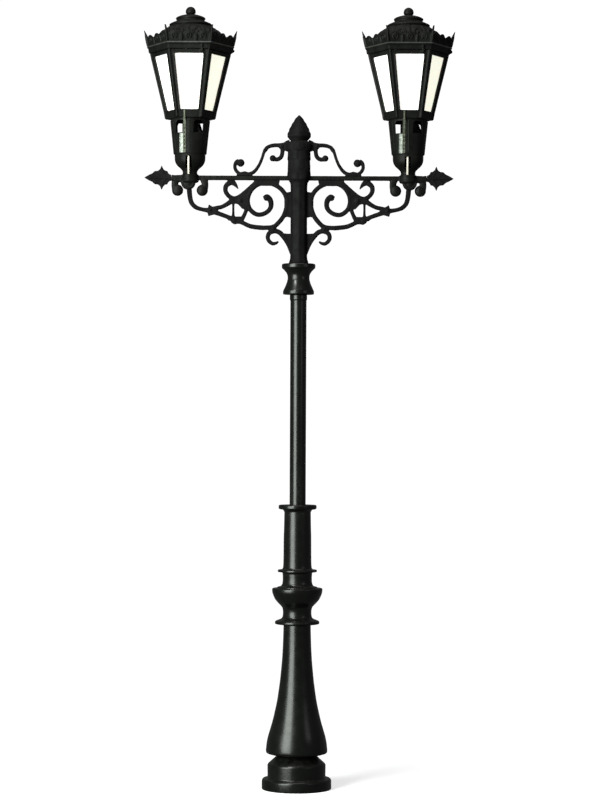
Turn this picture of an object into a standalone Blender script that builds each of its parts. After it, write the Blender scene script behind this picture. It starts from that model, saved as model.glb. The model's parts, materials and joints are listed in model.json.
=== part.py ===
"""Twin-lantern cast-iron street lamp post.

Origin at the centre of the plinth's underside, +Z up, the two arms along X, the front towards -Y.
All lengths are in metres. The service door is on the rear of the bell-shaped base.
"""

import bmesh
import bpy
from math import cos, pi, radians, sin, sqrt
from mathutils import Matrix, Vector

# ---------------------------------------------------------------- driving dimensions
GAP = 0.0003                 # gap between pieces that rest on each other
ROUND = 16                   # sides of the column's turned pieces
BASE_ROUND = 20              # sides of the wide base pieces
LANTERN_ROUND = 12           # sides of the lanterns' turned pieces

PLINTH_R = 0.2325
PLINTH_TOP = 0.224
BELL_TOP = 1.092
BOWL_TOP = 1.434
SLEEVE_TOP = 1.848
SHAFT_BOTTOM = 1.896
SHAFT_TOP = 3.303
SHAFT_R = 0.054              # 108 mm standard steel tube
CAPITAL_TOP = 3.508
HEAD_TOP = 4.330
SPEAR_TOP = 4.506
HEAD_BORE_R = 0.030
CABLE_R = 0.008
CABLE_Y = -0.015

ARM_Z = 4.082                # centreline of the arm bar
ARM_START = 0.0784
ARM_END = 0.856
BAR_HALF = 0.0155
BAR_FACE = BAR_HALF + 0.0003    # where the castings above and below the bar begin
FINIAL_TIP = 1.037
LANTERN_X = 0.730

NECK_BOTTOM = ARM_Z + 0.022 + GAP
NECK_TOP = 4.472
GLASS_BOTTOM = 4.519
GLASS_TOP = 4.891
FRAME_TOP = 4.9137
CANOPY_BOTTOM = 4.914
CREST_TOP = 5.020
SPIKE_TOP = 5.070
SPIKE_R = 0.317
FRAME_WALL = 0.018
PANE_THICK = 0.004
COWL_BOTTOM = 5.100
BALL_R = 0.034
LANTERN_TOP = 5.229

HINGE_Y = 0.253              # canopy hinge axis, behind the rear flat
HINGE_Z = 4.914
KNUCKLE_R = 0.009
PIN_R = 0.004
RUNNING_GAP = 0.0005
MERGE = 0.000002             # joins the coincident corners that a cut leaves
LATCH_X = 0.085
LATCH_Z = 4.934

DOOR_CENTRE = Vector((0.0, 0.151, 0.560))
DOOR_TILT = radians(11.5)
DOOR_HALF_W = 0.074
DOOR_HALF_H = 0.160
DOOR_THICK = 0.008
DOOR_AXIS_X = 0.083
DOOR_AXIS_N = 0.0045
DOOR_KNUCKLE_R = 0.007
LOCK_X = -0.064
LOCK_BARREL_R = 0.008


# ---------------------------------------------------------------- scene and materials
def clear_scene():
    for item in list(bpy.data.objects):
        bpy.data.objects.remove(item, do_unlink=True)


def material(name, colour, roughness, metallic=0.0):
    made = bpy.data.materials.new(name)
    made.use_nodes = True
    shader = made.node_tree.nodes["Principled BSDF"]
    shader.inputs["Base Color"].default_value = (*colour, 1.0)
    shader.inputs["Roughness"].default_value = roughness
    shader.inputs["Metallic"].default_value = metallic
    made.diffuse_color = (*colour, 1.0)
    return made


def make_materials():
    return {
        "paint": material("black_paint", (0.012, 0.013, 0.012), 0.38),
        "rough": material("rough_black_iron", (0.010, 0.010, 0.010), 0.62),
        "glass": material("opal_glass", (0.93, 0.92, 0.88), 0.30),
        "zinc": material("galvanised_steel", (0.55, 0.56, 0.55), 0.45, 0.8),
        "steel": material("steel_pin", (0.35, 0.35, 0.35), 0.35, 0.9),
        "cable": material("cream_cable", (0.80, 0.75, 0.66), 0.50),
        "lamp": material("lamp_bulb", (0.95, 0.94, 0.90), 0.15),
        "board": material("grey_board", (0.35, 0.36, 0.37), 0.60),
        "housing": material("housing_plastic", (0.08, 0.08, 0.09), 0.40),
    }


# ---------------------------------------------------------------- mesh helpers
def place(name, bm, mat, origin=(0, 0, 0), parent=None):
    """Make an object from a world-space bmesh, with its own origin at the given point."""
    origin = Vector(origin)
    bmesh.ops.recalc_face_normals(bm, faces=bm.faces)
    bm.transform(Matrix.Translation(-origin))
    mesh = bpy.data.meshes.new(name)
    bm.to_mesh(mesh)
    bm.free()
    mesh.materials.append(mat)
    mesh.shade_smooth()
    mesh.set_sharp_from_angle(angle=radians(32))
    thing = bpy.data.objects.new(name, mesh)
    bpy.context.scene.collection.objects.link(thing)
    thing.location = origin
    if parent is not None:
        thing.parent = parent
        thing.location = origin - parent.location
    return thing


def axis_empty(name, position):
    empty = bpy.data.objects.new(name, None)
    bpy.context.scene.collection.objects.link(empty)
    empty.empty_display_size = 0.05
    empty.location = position
    return empty


def combine(pieces, cutters=()):
    """Return one bmesh: the union of the pieces, less the cutters."""
    work = [place("operand", bm, None) for bm in (*pieces, *cutters)]
    base = work[0]
    for index, other in enumerate(work[1:], start=1):
        step = base.modifiers.new("step", "BOOLEAN")
        step.operation = "UNION" if index < len(pieces) else "DIFFERENCE"
        step.solver = "EXACT"
        step.object = other
    bpy.context.view_layer.update()
    shape = base.evaluated_get(bpy.context.evaluated_depsgraph_get())
    result = bmesh.new()
    result.from_mesh(shape.to_mesh())
    shape.to_mesh_clear()
    for item in work:
        bpy.data.objects.remove(item, do_unlink=True)
    bmesh.ops.remove_doubles(result, verts=result.verts, dist=MERGE)
    bmesh.ops.dissolve_degenerate(result, edges=result.edges, dist=MERGE)
    return result


def turned(loop, sides, first_angle=0.0, centre=(0.0, 0.0)):
    """Revolve a closed loop of (radius, z) points about the vertical line through centre."""
    bm = bmesh.new()
    rings = []
    for radius, z in loop:
        count = 1 if radius < 1e-6 else sides
        ring = []
        for i in range(count):
            angle = first_angle + 2 * pi * i / sides
            x = centre[0] + radius * cos(angle)
            y = centre[1] + radius * sin(angle)
            ring.append(bm.verts.new((x, y, z)))
        rings.append(ring)
    for low, high in zip(rings, rings[1:] + rings[:1]):
        if len(low) == 1 and len(high) == 1:
            continue
        for i in range(sides):
            j = (i + 1) % sides
            corners = [low[i % len(low)], low[j % len(low)], high[j % len(high)], high[i % len(high)]]
            bm.faces.new(list(dict.fromkeys(corners)))
    return bm


def shell_loop(outer, bore):
    """Close an outer (radius, z) profile with a plain bore of one radius."""
    return [*outer, (bore, outer[-1][1]), (bore, outer[0][1])]


def box(low, high, frame=None):
    bm = bmesh.new()
    bmesh.ops.create_cube(bm, size=1.0)
    for vert in bm.verts:
        vert.co = Vector(low[k] if vert.co[k] < 0 else high[k] for k in range(3))
    if frame is not None:
        bm.transform(frame)
    return bm


def prism(outline, half_depth, y=0.0):
    """Extrude an (x, z) outline along Y, to half_depth on each side of y."""
    bm = bmesh.new()
    front = [bm.verts.new((x, y - half_depth, z)) for x, z in outline]
    back = [bm.verts.new((x, y + half_depth, z)) for x, z in outline]
    bm.faces.new(front)
    bm.faces.new(back[::-1])
    for i in range(len(outline)):
        j = (i + 1) % len(outline)
        bm.faces.new((front[i], front[j], back[j], back[i]))
    return bm


def circle(centre, radius, sides, first_angle=0.0):
    steps = (first_angle + 2 * pi * i / sides for i in range(sides))
    return [(centre[0] + radius * cos(a), centre[1] + radius * sin(a)) for a in steps]


def rod(radius, half_length, frame, sides=12):
    """Cylinder along the frame's X axis."""
    bm = bmesh.new()
    turn = Matrix.Rotation(pi / 2, 4, "Y")
    bmesh.ops.create_cone(bm, cap_ends=True, segments=sides, radius1=radius, radius2=radius,
                          depth=2 * half_length, matrix=frame @ turn)
    return bm


def ball(centre, radius, flatten=1.0):
    bm = bmesh.new()
    size = Matrix.Diagonal((1.0, flatten, 1.0, 1.0))
    bmesh.ops.create_icosphere(bm, subdivisions=2, radius=radius,
                               matrix=Matrix.Translation(centre) @ size)
    return bm


def smooth_path(points, steps):
    """Catmull-Rom curve through the points; each point is a tuple of any length."""
    ends = [tuple(2 * a - b for a, b in zip(points[0], points[1])),
            tuple(2 * a - b for a, b in zip(points[-1], points[-2]))]
    knots = [ends[0], *points, ends[1]]
    path = []
    for i in range(1, len(knots) - 2):
        for k in range(steps):
            t = k / steps
            path.append(tuple(
                0.5 * (2 * b + (c - a) * t + (2 * a - 5 * b + 4 * c - d) * t * t
                       + (3 * b - a - 3 * c + d) * t ** 3)
                for a, b, c, d in zip(*knots[i - 1:i + 3])))
    path.append(points[-1])
    return path


def stroke(points, depth, steps=1):
    """Prism along a smooth (x, z, width) centreline, depth thick along Y."""
    path = smooth_path(points, steps)
    left = []
    right = []
    for i, (x, z, width) in enumerate(path):
        before = path[max(i - 1, 0)]
        after = path[min(i + 1, len(path) - 1)]
        run = Vector((after[0] - before[0], after[1] - before[1])).normalized()
        left.append((x - run.y * width / 2, z + run.x * width / 2))
        right.append((x + run.y * width / 2, z - run.x * width / 2))
    return prism(left + right[::-1], depth / 2)


# ---------------------------------------------------------------- column
def bell_profile():
    return [(0.133, PLINTH_TOP + GAP), (0.168, 0.231), (0.202, 0.240), (0.2055, 0.248), (0.2055, 0.264),
            (0.201, 0.305), (0.191, 0.357), (0.1785, 0.390), (0.1605, 0.457), (0.145, 0.524),
            (0.131, 0.591), (0.121, 0.665), (0.107, 0.792), (0.0976, 0.925), (0.091, BELL_TOP)]


def bell_bore():
    return [(0.080, BELL_TOP), (0.088, 0.800), (0.106, 0.660), (0.140, 0.480), (0.176, 0.330),
            (0.185, 0.266), (0.118, 0.240), (0.118, PLINTH_TOP + GAP)]


def bowl_profile():
    return [(0.092, BELL_TOP + GAP), (0.106, 1.097), (0.140, 1.100), (0.1485, 1.109), (0.1485, 1.114),
            (0.142, 1.122), (0.113, 1.133), (0.0985, 1.142), (0.095, 1.180), (0.098, 1.213), (0.127, 1.240),
            (0.148, 1.267), (0.160, 1.291), (0.1685, 1.317), (0.1685, 1.336), (0.133, 1.340),
            (0.128, 1.348), (0.104, 1.354), (0.098, 1.385), (0.098, BOWL_TOP)]


def capital_profile():
    return [(0.0985, SHAFT_TOP), (0.1036, 3.310), (0.0963, 3.332), (0.087, 3.360), (0.0775, 3.386),
            (0.0728, 3.414), (0.076, 3.438), (0.087, 3.456), (0.100, 3.470), (0.1110, 3.481),
            (0.1125, 3.499), (0.107, CAPITAL_TOP)]


def head_profile():
    return [(HEAD_BORE_R, CAPITAL_TOP + GAP), (0.060, CAPITAL_TOP + GAP), (0.060, 3.520), (0.053, 3.530),
            (0.053, 4.030), (0.060, 4.055), (0.077, 4.068), (0.077, 4.262), (0.085, 4.275),
            (0.085, 4.318), (0.062, HEAD_TOP), (0.0, HEAD_TOP), (0.0, 4.110), (HEAD_BORE_R, 4.110)]


def build_column(mats):
    plinth = [(PLINTH_R, 0.0), (PLINTH_R, 0.060), (0.226, 0.070), (0.194, 0.072), (0.194, 0.163),
              (0.189, 0.171), (0.133, 0.222), (0.131, PLINTH_TOP)]
    place("base_plinth", turned(shell_loop(plinth, 0.040), BASE_ROUND), mats["paint"])
    place("bowl_collar", turned(shell_loop(bowl_profile(), 0.070), ROUND), mats["paint"])
    sleeve = [(0.100, BOWL_TOP + GAP), (0.104, 1.446), (0.128, 1.448), (0.131, 1.455), (0.128, 1.462),
              (0.104, 1.465), (0.096, 1.476),
              (0.0925, 1.560), (0.0925, 1.690), (0.0883, SLEEVE_TOP)]
    place("lower_sleeve", turned(shell_loop(sleeve, 0.070), ROUND), mats["paint"])
    flange = [(0.092, SLEEVE_TOP + GAP), (0.096, 1.860), (0.123, 1.866), (0.127, 1.873), (0.127, 1.890),
              (0.123, 1.8957), (0.070, SHAFT_BOTTOM - GAP)]
    place("sleeve_flange", turned(shell_loop(flange, 0.030), ROUND), mats["paint"])
    shaft = [(SHAFT_R, SHAFT_BOTTOM), (SHAFT_R, 3.264), (0.058, 3.268), (0.058, SHAFT_TOP - GAP)]
    place("shaft_tube", turned(shell_loop(shaft, SHAFT_R - 0.006), ROUND), mats["paint"])
    place("capital", turned(shell_loop(capital_profile(), HEAD_BORE_R), ROUND), mats["paint"])
    place("head_post", turned(head_profile(), ROUND), mats["rough"])
    spear = [(0.0, HEAD_TOP + GAP), (0.046, HEAD_TOP + GAP), (0.070, 4.340), (0.080, 4.366), (0.068, 4.400),
             (0.048, 4.434), (0.027, 4.470), (0.0, SPEAR_TOP)]
    place("spear_finial", turned(spear, 16), mats["rough"])
    build_inner_column(mats)


def build_inner_column(mats):
    board_top = 0.690
    place("fuse_board", box((-0.060, 0.0, PLINTH_TOP + GAP), (0.060, 0.008, board_top)), mats["board"])
    cutout = combine([box((-0.036, 0.008 + GAP, 0.440), (0.036, 0.055, 0.600)),
                      box((-0.020, 0.040, 0.400), (0.020, 0.050, 0.450))])
    place("cutout_box", cutout, mats["housing"])
    cable = [(CABLE_R, 0.020), (CABLE_R, 1.4), (CABLE_R, 2.8), (CABLE_R, 4.090), (0.0, 4.090), (0.0, 0.020)]
    place("column_cable", turned(cable, 8, centre=(0.0, CABLE_Y)), mats["cable"])


def door_frame():
    """Frame of the door seat: X across, Y out of the seat, Z up along it."""
    return Matrix.Translation(DOOR_CENTRE) @ Matrix.Rotation(DOOR_TILT, 4, "X")


def build_service_door(mats):
    frame = door_frame()
    spans = {"low": (-0.125, -0.090), "high": (0.090, 0.125)}
    axis = Vector((DOOR_AXIS_X, DOOR_AXIS_N, 0.0))
    up = Matrix.Rotation(-pi / 2, 4, "Y")

    def knuckle(low, high, radius):
        centre = axis + Vector((0, 0, (low + high) / 2))
        return rod(radius, (high - low) / 2, frame @ Matrix.Translation(centre) @ up)

    seat = box((-0.0785, -0.050, -0.172), (0.0755, 0.0, 0.172), frame)
    opening = box((-0.055, -0.120, -0.138), (0.055, 0.010, 0.138), frame)
    bell = turned([*bell_profile(), *bell_bore()], BASE_ROUND)
    lugs = []
    for low, high in spans.values():
        lugs.append(box((0.070, -0.020, low + 0.001), (DOOR_AXIS_X, -0.0015, high - 0.001), frame))
        lugs.append(knuckle(low, high, DOOR_KNUCKLE_R))
    pin_hole = knuckle(-0.150, 0.150, PIN_R + RUNNING_GAP)
    place("base_bell", combine([bell, seat, *lugs], [opening, pin_hole]), mats["paint"])

    leaf = box((-DOOR_HALF_W, GAP, -DOOR_HALF_H), (DOOR_HALF_W, GAP + DOOR_THICK, DOOR_HALF_H), frame)
    strap = box((0.060, 0.001, -0.079), (DOOR_AXIS_X, 0.0078, 0.079), frame)
    lock_at = frame @ Matrix.Translation((LOCK_X, 0, 0)) @ Matrix.Rotation(pi / 2, 4, "Z")
    barrel_hole = rod(LOCK_BARREL_R + RUNNING_GAP, 0.020, lock_at)
    notches = [box((0.0735, -0.01, low - 0.0005), (0.10, 0.02, high + 0.0005), frame)
               for low, high in spans.values()]
    door_pin_hole = knuckle(-0.150, 0.150, PIN_R + RUNNING_GAP)
    hinge_point = frame @ axis
    hinge = axis_empty("service_door_axis", hinge_point)
    barrel = knuckle(-0.080, 0.080, DOOR_KNUCKLE_R)
    door = combine([leaf, strap, barrel], [barrel_hole, door_pin_hole, *notches])
    place("service_door", door, mats["paint"], hinge_point, hinge)
    place("door_hinge_pin", knuckle(-0.130, 0.130, PIN_R), mats["steel"])
    build_door_lock(mats, frame)


def build_door_lock(mats, frame):
    """Quarter-turn lock: head outside, barrel through the leaf, key square proud of the head."""
    at = frame @ Matrix.Translation((LOCK_X, 0, 0))
    across = Matrix.Rotation(pi / 2, 4, "Z")
    outside = GAP + DOOR_THICK
    head = rod(0.0095, 0.0025, at @ Matrix.Translation((0, outside + GAP + 0.0025, 0)) @ across)
    barrel_at = at @ Matrix.Translation((0, outside / 2 + 0.0015, 0))
    barrel = rod(LOCK_BARREL_R, outside / 2 + 0.001, barrel_at @ across)
    key = box((-0.0035, outside + 0.004, -0.0035), (0.0035, outside + 0.012, 0.0035), at)
    point = at @ Vector((0, outside, 0))
    axis = axis_empty("door_lock_axis", point)
    place("door_lock", combine([head, barrel, key]), mats["steel"], point, axis)


# ---------------------------------------------------------------- arms
def arm_points(side, points):
    """Turn (distance from the post, height above the bar, width) into world (x, z, width)."""
    return [(side * u, ARM_Z + v, width) for u, v, width in points]


def arm_outline(side, points):
    return [(side * u, ARM_Z + v) for u, v in points]


def build_arm_bar(side):
    seat = [(0.0, -0.033), (0.052, -0.033), (0.060, -0.025), (0.060, 0.016), (0.055, 0.022), (0.0, 0.022)]
    seat_loop = [(r, ARM_Z + v) for r, v in seat]
    lantern = side * LANTERN_X
    tongue = sorted((lantern, side * ARM_END))
    start, stop = sorted((side * ARM_START, side * (LANTERN_X + 0.02)))
    pieces = [
        box((start, -0.0135, ARM_Z - BAR_HALF), (stop, 0.0135, ARM_Z + BAR_HALF)),
        turned(seat_loop, ROUND, centre=(lantern, 0.0)),
        box((tongue[0], -0.021, ARM_Z - 0.032), (tongue[1], 0.021, ARM_Z + 0.021)),
        prism(circle((side * 0.742, ARM_Z - 0.030), 0.050, 16), 0.034),
    ]
    for out in (-1, 1):
        stem = [(0.104, -0.005, 0.030), (0.113, -0.040, 0.026), (0.113, -0.070, 0.026),
                (0.100, -0.096, 0.030)]
        hang = [(LANTERN_X + out * u, v, width) for u, v, width in stem]
        pieces.append(stroke(arm_points(side, hang), 0.028))
        centre = Vector((side * (LANTERN_X + out * 0.080), 0, ARM_Z - 0.088))
        pieces.append(ball(centre, 0.034, 0.6))
    return combine(pieces)


def build_scroll_panel(side):
    ring = [(0.245, -0.334), (0.176, -0.328), (0.139, -0.302), (0.104, -0.257), (0.084, -0.203),
            (0.080, -0.166), (0.087, -0.124), (0.110, -0.083), (0.151, -0.051), (0.199, -0.035),
            (0.246, -0.035), (0.291, -0.053), (0.325, -0.090), (0.342, -0.138), (0.338, -0.186),
            (0.318, -0.220), (0.284, -0.243), (0.250, -0.244), (0.215, -0.229), (0.191, -0.202),
            (0.186, -0.171), (0.194, -0.144), (0.214, -0.126), (0.236, -0.136)]
    ring_widths = [0.030] * 19 + [0.031, 0.033, 0.034, 0.034, 0.029]
    heart = [(0.318, -0.062), (0.356, -0.095), (0.397, -0.130), (0.437, -0.138), (0.474, -0.117),
             (0.492, -0.083), (0.487, -0.052), (0.461, -0.034)]
    bracket = [(0.0700, -0.514, 0.026), (0.075, -0.454, 0.029), (0.090, -0.410, 0.031),
               (0.126, -0.366, 0.032), (0.160, -0.355, 0.031), (0.194, -0.366, 0.029),
               (0.207, -0.392, 0.028), (0.200, -0.420, 0.026), (0.175, -0.439, 0.024),
               (0.151, -0.435, 0.021), (0.136, -0.426, 0.018)]
    lower_chord = [(0.240, -0.334, 0.030), (0.320, -0.324, 0.030), (0.381, -0.298, 0.029),
                   (0.439, -0.276, 0.029), (0.504, -0.251, 0.029), (0.565, -0.230, 0.030),
                   (0.640, -0.213, 0.027), (0.687, -0.199, 0.028), (0.713, -0.176, 0.029),
                   (0.725, -0.149, 0.030), (0.731, -0.115, 0.031), (0.732, -0.082, 0.031)]
    upper_chord = [(0.455, -0.155, 0.029), (0.516, -0.194, 0.028), (0.559, -0.203, 0.028),
                   (0.600, -0.215, 0.027)]
    strut = [(0.345, -0.190, 0.027), (0.360, -0.230, 0.026), (0.386, -0.285, 0.027)]
    web = [(0.439, -0.142, 0.019), (0.439, -0.262, 0.019)]
    leaf = [(0.404, -0.074), (0.426, -0.034), (0.432, -BAR_FACE), (0.482, -BAR_FACE), (0.462, -0.042)]
    knot = [(0.594, -0.256), (0.614, -0.216), (0.594, -0.176), (0.574, -0.216)]
    pieces = [stroke(arm_points(side, [(u, v, w) for (u, v), w in zip(ring, ring_widths)]), 0.026)]
    pieces.append(stroke(arm_points(side, [(u, v, 0.029) for u, v in heart]), 0.024))
    pieces.append(stroke(arm_points(side, bracket), 0.0252))
    pieces.append(stroke(arm_points(side, lower_chord), 0.0234))
    pieces.append(stroke(arm_points(side, upper_chord), 0.0222))
    pieces.append(stroke(arm_points(side, strut), 0.0216))
    pieces.append(stroke(arm_points(side, web), 0.0206))
    pieces.append(prism(arm_outline(side, leaf), 0.0112))
    pieces.append(prism(arm_outline(side, knot), 0.0190))
    pieces.append(prism(circle((side * 0.385, ARM_Z - 0.154), 0.042, 14), 0.0200))
    pieces.append(prism(circle((side * 0.433, ARM_Z - 0.281), 0.028, 10), 0.0175))
    # lands where the panel seats under the bar, against the post twice, and between ring and bracket
    bar_land = [(0.142, -0.050), (0.290, -0.050), (0.296, -BAR_FACE), (0.136, -BAR_FACE)]
    post_land = [(0.0548, -0.264), (0.096, -0.250), (0.082, -0.180), (0.098, -0.102), (0.0548, -0.092)]
    foot_land = [(0.0548, -0.508), (0.070, -0.508), (0.079, -0.440), (0.122, -0.372), (0.0548, -0.374)]
    ring_land = [(0.150, -0.362), (0.192, -0.362), (0.192, -0.320), (0.150, -0.320)]
    lands = [(bar_land, 0.0160), (post_land, 0.0110), (foot_land, 0.0106), (ring_land, 0.0170)]
    for outline, half_depth in lands:
        pieces.append(prism(arm_outline(side, outline), half_depth))
    return combine(pieces)


def build_crest_scroll(side):
    scroll = [(0.0868, 0.217, 0.074), (0.104, 0.217, 0.050), (0.130, 0.219, 0.028), (0.173, 0.219, 0.026),
              (0.207, 0.209, 0.024), (0.235, 0.173, 0.022), (0.249, 0.129, 0.021), (0.270, 0.082, 0.022),
              (0.305, 0.041, 0.024), (0.346, 0.026, 0.019)]
    curl = [(0.114, 0.216, 0.027), (0.113, 0.172, 0.027), (0.121, 0.141, 0.027), (0.140, 0.126, 0.027),
            (0.166, 0.126, 0.027)]
    hook = [(0.385, 0.031, 0.018), (0.415, 0.045, 0.023), (0.429, 0.072, 0.023), (0.426, 0.100, 0.023),
            (0.407, 0.118, 0.023), (0.394, 0.110, 0.021)]
    collar = [(0.310, BAR_FACE), (0.418, BAR_FACE), (0.410, 0.030), (0.364, 0.045), (0.320, 0.030)]
    pieces = [stroke(arm_points(side, scroll), 0.025), stroke(arm_points(side, curl), 0.023),
              stroke(arm_points(side, hook), 0.022), prism(arm_outline(side, collar), 0.0165)]
    pieces.append(ball(Vector((side * 0.176, 0, ARM_Z + 0.133)), 0.021))
    pieces.append(ball(Vector((side * 0.391, 0, ARM_Z + 0.098)), 0.026))
    return combine(pieces)


def build_end_finial(side):
    upper = [(0.890, 0.046), (0.902, 0.030), (0.920, 0.083), (0.938, 0.034), (0.966, 0.045), (0.982, 0.019),
             (1.006, 0.018)]
    outline = [(ARM_END + GAP, 0.020), (0.866, 0.024), *upper, (FINIAL_TIP, 0.0)]
    outline += [(u, -v) for u, v in reversed(outline[:-1])]
    return prism(arm_outline(side, outline), 0.015)


def build_arms(mats):
    for name, side in (("left", -1), ("right", 1)):
        place(f"{name}_arm_bar", build_arm_bar(side), mats["paint"])
        place(f"{name}_scroll_panel", build_scroll_panel(side), mats["rough"])
        place(f"{name}_crest_scroll", build_crest_scroll(side), mats["rough"])
        place(f"{name}_end_finial", build_end_finial(side), mats["rough"])


# ---------------------------------------------------------------- lanterns
def wedge(bottom, top):
    """Six-sided solid between two level rectangles, each (x0, x1, y0, y1, z)."""
    bm = bmesh.new()
    rings = []
    for x0, x1, y0, y1, z in (bottom, top):
        rings.append([bm.verts.new(p) for p in ((x0, y0, z), (x1, y0, z), (x1, y1, z), (x0, y1, z))])
    low, high = rings
    bm.faces.new(low[::-1])
    bm.faces.new(high)
    for i in range(4):
        j = (i + 1) % 4
        bm.faces.new((low[i], low[j], high[j], high[i]))
    return bm


def spun(bm, degrees):
    bm.transform(Matrix.Rotation(radians(degrees), 4, "Z"))
    return bm


def lantern_socket():
    loop = [(0.0, NECK_BOTTOM), (0.050, NECK_BOTTOM), (0.047, 4.112), (0.050, 4.125), (0.067, 4.138),
            (0.090, 4.158), (0.103, 4.190), (0.103, 4.236), (0.107, 4.239), (0.131, NECK_TOP - GAP),
            (0.122, NECK_TOP - GAP), (0.098, 4.242), (0.093, 4.190), (0.080, 4.165), (0.055, 4.148),
            (0.0, 4.148)]
    windows = [spun(box((-0.160, -0.038, 4.372), (0.160, 0.038, 4.459)), turn) for turn in (0, 60, 120)]
    cable_slot = box((-0.028, -0.130, 4.128), (0.016, -0.051, 4.240))
    return combine([turned(loop, LANTERN_ROUND)], [*windows, cable_slot])


def gear_channel():
    return wedge((-0.0665, -0.0395, -0.1080, -0.1010, 4.240), (-0.0665, -0.0395, -0.1214, -0.1147, 4.370))


def lantern_cable(name, mat, offset):
    route = [(-0.006, -0.052, 4.296), (-0.006, -0.070, 4.262), (-0.006, -0.084, 4.225),
             (-0.006, -0.089, 4.190), (-0.006, -0.084, 4.160), (-0.006, -0.071, 4.133),
             (-0.006, -0.0590, NECK_BOTTOM)]
    curve = bpy.data.curves.new(name, "CURVE")
    curve.dimensions = "3D"
    curve.bevel_depth = 0.0072
    curve.bevel_resolution = 2
    curve.use_fill_caps = True
    path = smooth_path(route, 2)
    line = curve.splines.new("POLY")
    line.points.add(len(path) - 1)
    for point, co in zip(line.points, path):
        point.co = (*co, 1.0)
    curve.materials.append(mat)
    thing = bpy.data.objects.new(name, curve)
    bpy.context.scene.collection.objects.link(thing)
    thing.location = offset


def lantern_frame():
    loop = [(0.168, NECK_TOP), (0.172, GLASS_BOTTOM), (0.263, GLASS_TOP), (0.268, FRAME_TOP),
            (0.250, FRAME_TOP), (0.263 - FRAME_WALL, GLASS_TOP), (0.172 - FRAME_WALL, GLASS_BOTTOM),
            (0.152, 4.486), (0.118, 4.486), (0.118, NECK_TOP)]
    low = GLASS_BOTTOM + 0.004
    high = GLASS_TOP - 0.004
    window = [(-0.0625, low), (0.0625, low), (0.0975, high), (-0.0975, high)]
    windows = [spun(prism(window, 0.30), turn) for turn in (0, 60, 120)]
    lug = box((-0.030, 0.226, HINGE_Z - KNUCKLE_R), (0.030, HINGE_Y, HINGE_Z - 0.0015))
    keeper = box((LATCH_X - 0.010, -0.2455, 4.896), (LATCH_X + 0.010, -0.2240, 4.910))
    knuckle = rod(KNUCKLE_R, 0.030, Matrix.Translation((0, HINGE_Y, HINGE_Z)))
    pin_hole = rod(PIN_R + RUNNING_GAP, 0.080, Matrix.Translation((0, HINGE_Y, HINGE_Z)))
    return combine([turned(loop, 6), lug, keeper, knuckle], [*windows, pin_hole])


def lantern_pane(turn):
    seat_low = (0.172 - FRAME_WALL) * cos(pi / 6) - 0.0004
    seat_high = (0.263 - FRAME_WALL) * cos(pi / 6) - 0.0004
    bottom = (-0.0720, 0.0720, -seat_low, -seat_low + PANE_THICK, GLASS_BOTTOM + 0.0006)
    top = (-0.1110, 0.1110, -seat_high, -seat_high + PANE_THICK, GLASS_TOP - 0.0006)
    return spun(wedge(bottom, top), turn)


def lamp_plate():
    """Tray over the neck with the control-gear can hanging below it."""
    floor = 4.486 + GAP
    loop = [(0.0, 4.300), (0.052, 4.300), (0.055, 4.304), (0.055, floor), (0.112, floor),
            (0.112, floor + 0.008),
            (0.0, floor + 0.008)]
    return turned(loop, LANTERN_ROUND)


def lamp():
    base = 4.4943 + GAP
    loop = [(0.0, base), (0.026, base), (0.026, base + 0.030), (0.020, base + 0.045), (0.030, base + 0.080),
            (0.044, base + 0.115), (0.048, base + 0.145), (0.042, base + 0.172), (0.024, base + 0.192),
            (0.0, base + 0.198)]
    return turned(loop, 16)


def gallery():
    """Hexagonal canopy fascia with a moulded ledge, a seat for the dome and six corner spikes."""
    loop = [(0.281, CANOPY_BOTTOM), (0.284, 4.948), (0.291, 4.952), (0.291, 4.958), (0.286, 4.962),
            (0.300, CREST_TOP), (0.289, CREST_TOP), (0.274, 4.926), (0.236, 4.926), (0.236, CANOPY_BOTTOM)]
    pieces = [turned(loop, 6)]
    for corner in range(6):
        spike = bmesh.new()
        bmesh.ops.create_cone(spike, cap_ends=True, segments=6, radius1=0.017, radius2=0.0015, depth=1.0)
        for vert in spike.verts:
            tip = vert.co.z > 0
            vert.co.z = SPIKE_TOP if tip else 4.992
            vert.co.x += SPIKE_R - 0.0015 if tip else 0.289
        pieces.append(spun(spike, 60 * corner))
    for side in (-1, 1):
        near, far = sorted((side * (0.030 + RUNNING_GAP), side * 0.060))
        pieces.append(box((near, 0.2400, HINGE_Z + 0.0015), (far, HINGE_Y, HINGE_Z + KNUCKLE_R)))
        pieces.append(rod(KNUCKLE_R, (far - near) / 2,
                          Matrix.Translation(((near + far) / 2, HINGE_Y, HINGE_Z))))
    pin_hole = rod(PIN_R + RUNNING_GAP, 0.080, Matrix.Translation((0, HINGE_Y, HINGE_Z)))
    return combine(pieces, [pin_hole])


def dome():
    foot = 4.926 + GAP
    top = COWL_BOTTOM - GAP
    outer = [(0.232, foot), (0.232, 4.990), (0.227, 5.008), (0.213, 5.036), (0.190, 5.062), (0.160, 5.086),
             (0.142, top)]
    inner = [(0.132, top), (0.155, 5.075), (0.184, 5.052), (0.206, 5.028), (0.222, 4.990), (0.222, foot)]
    return turned(outer + inner, LANTERN_ROUND)


def vent_cowl():
    loop = [(0.141, COWL_BOTTOM), (0.143, 5.103), (0.143, 5.109), (0.120, 5.122), (0.095, 5.131),
            (0.095, 5.138),
            (0.0996, 5.145), (0.0996, 5.151), (0.075, 5.166), (0.040, 5.175), (0.0, 5.175), (0.0, 5.165),
            (0.080, 5.140), (0.110, 5.112), (0.126, COWL_BOTTOM)]
    return turned(loop, LANTERN_ROUND)


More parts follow.
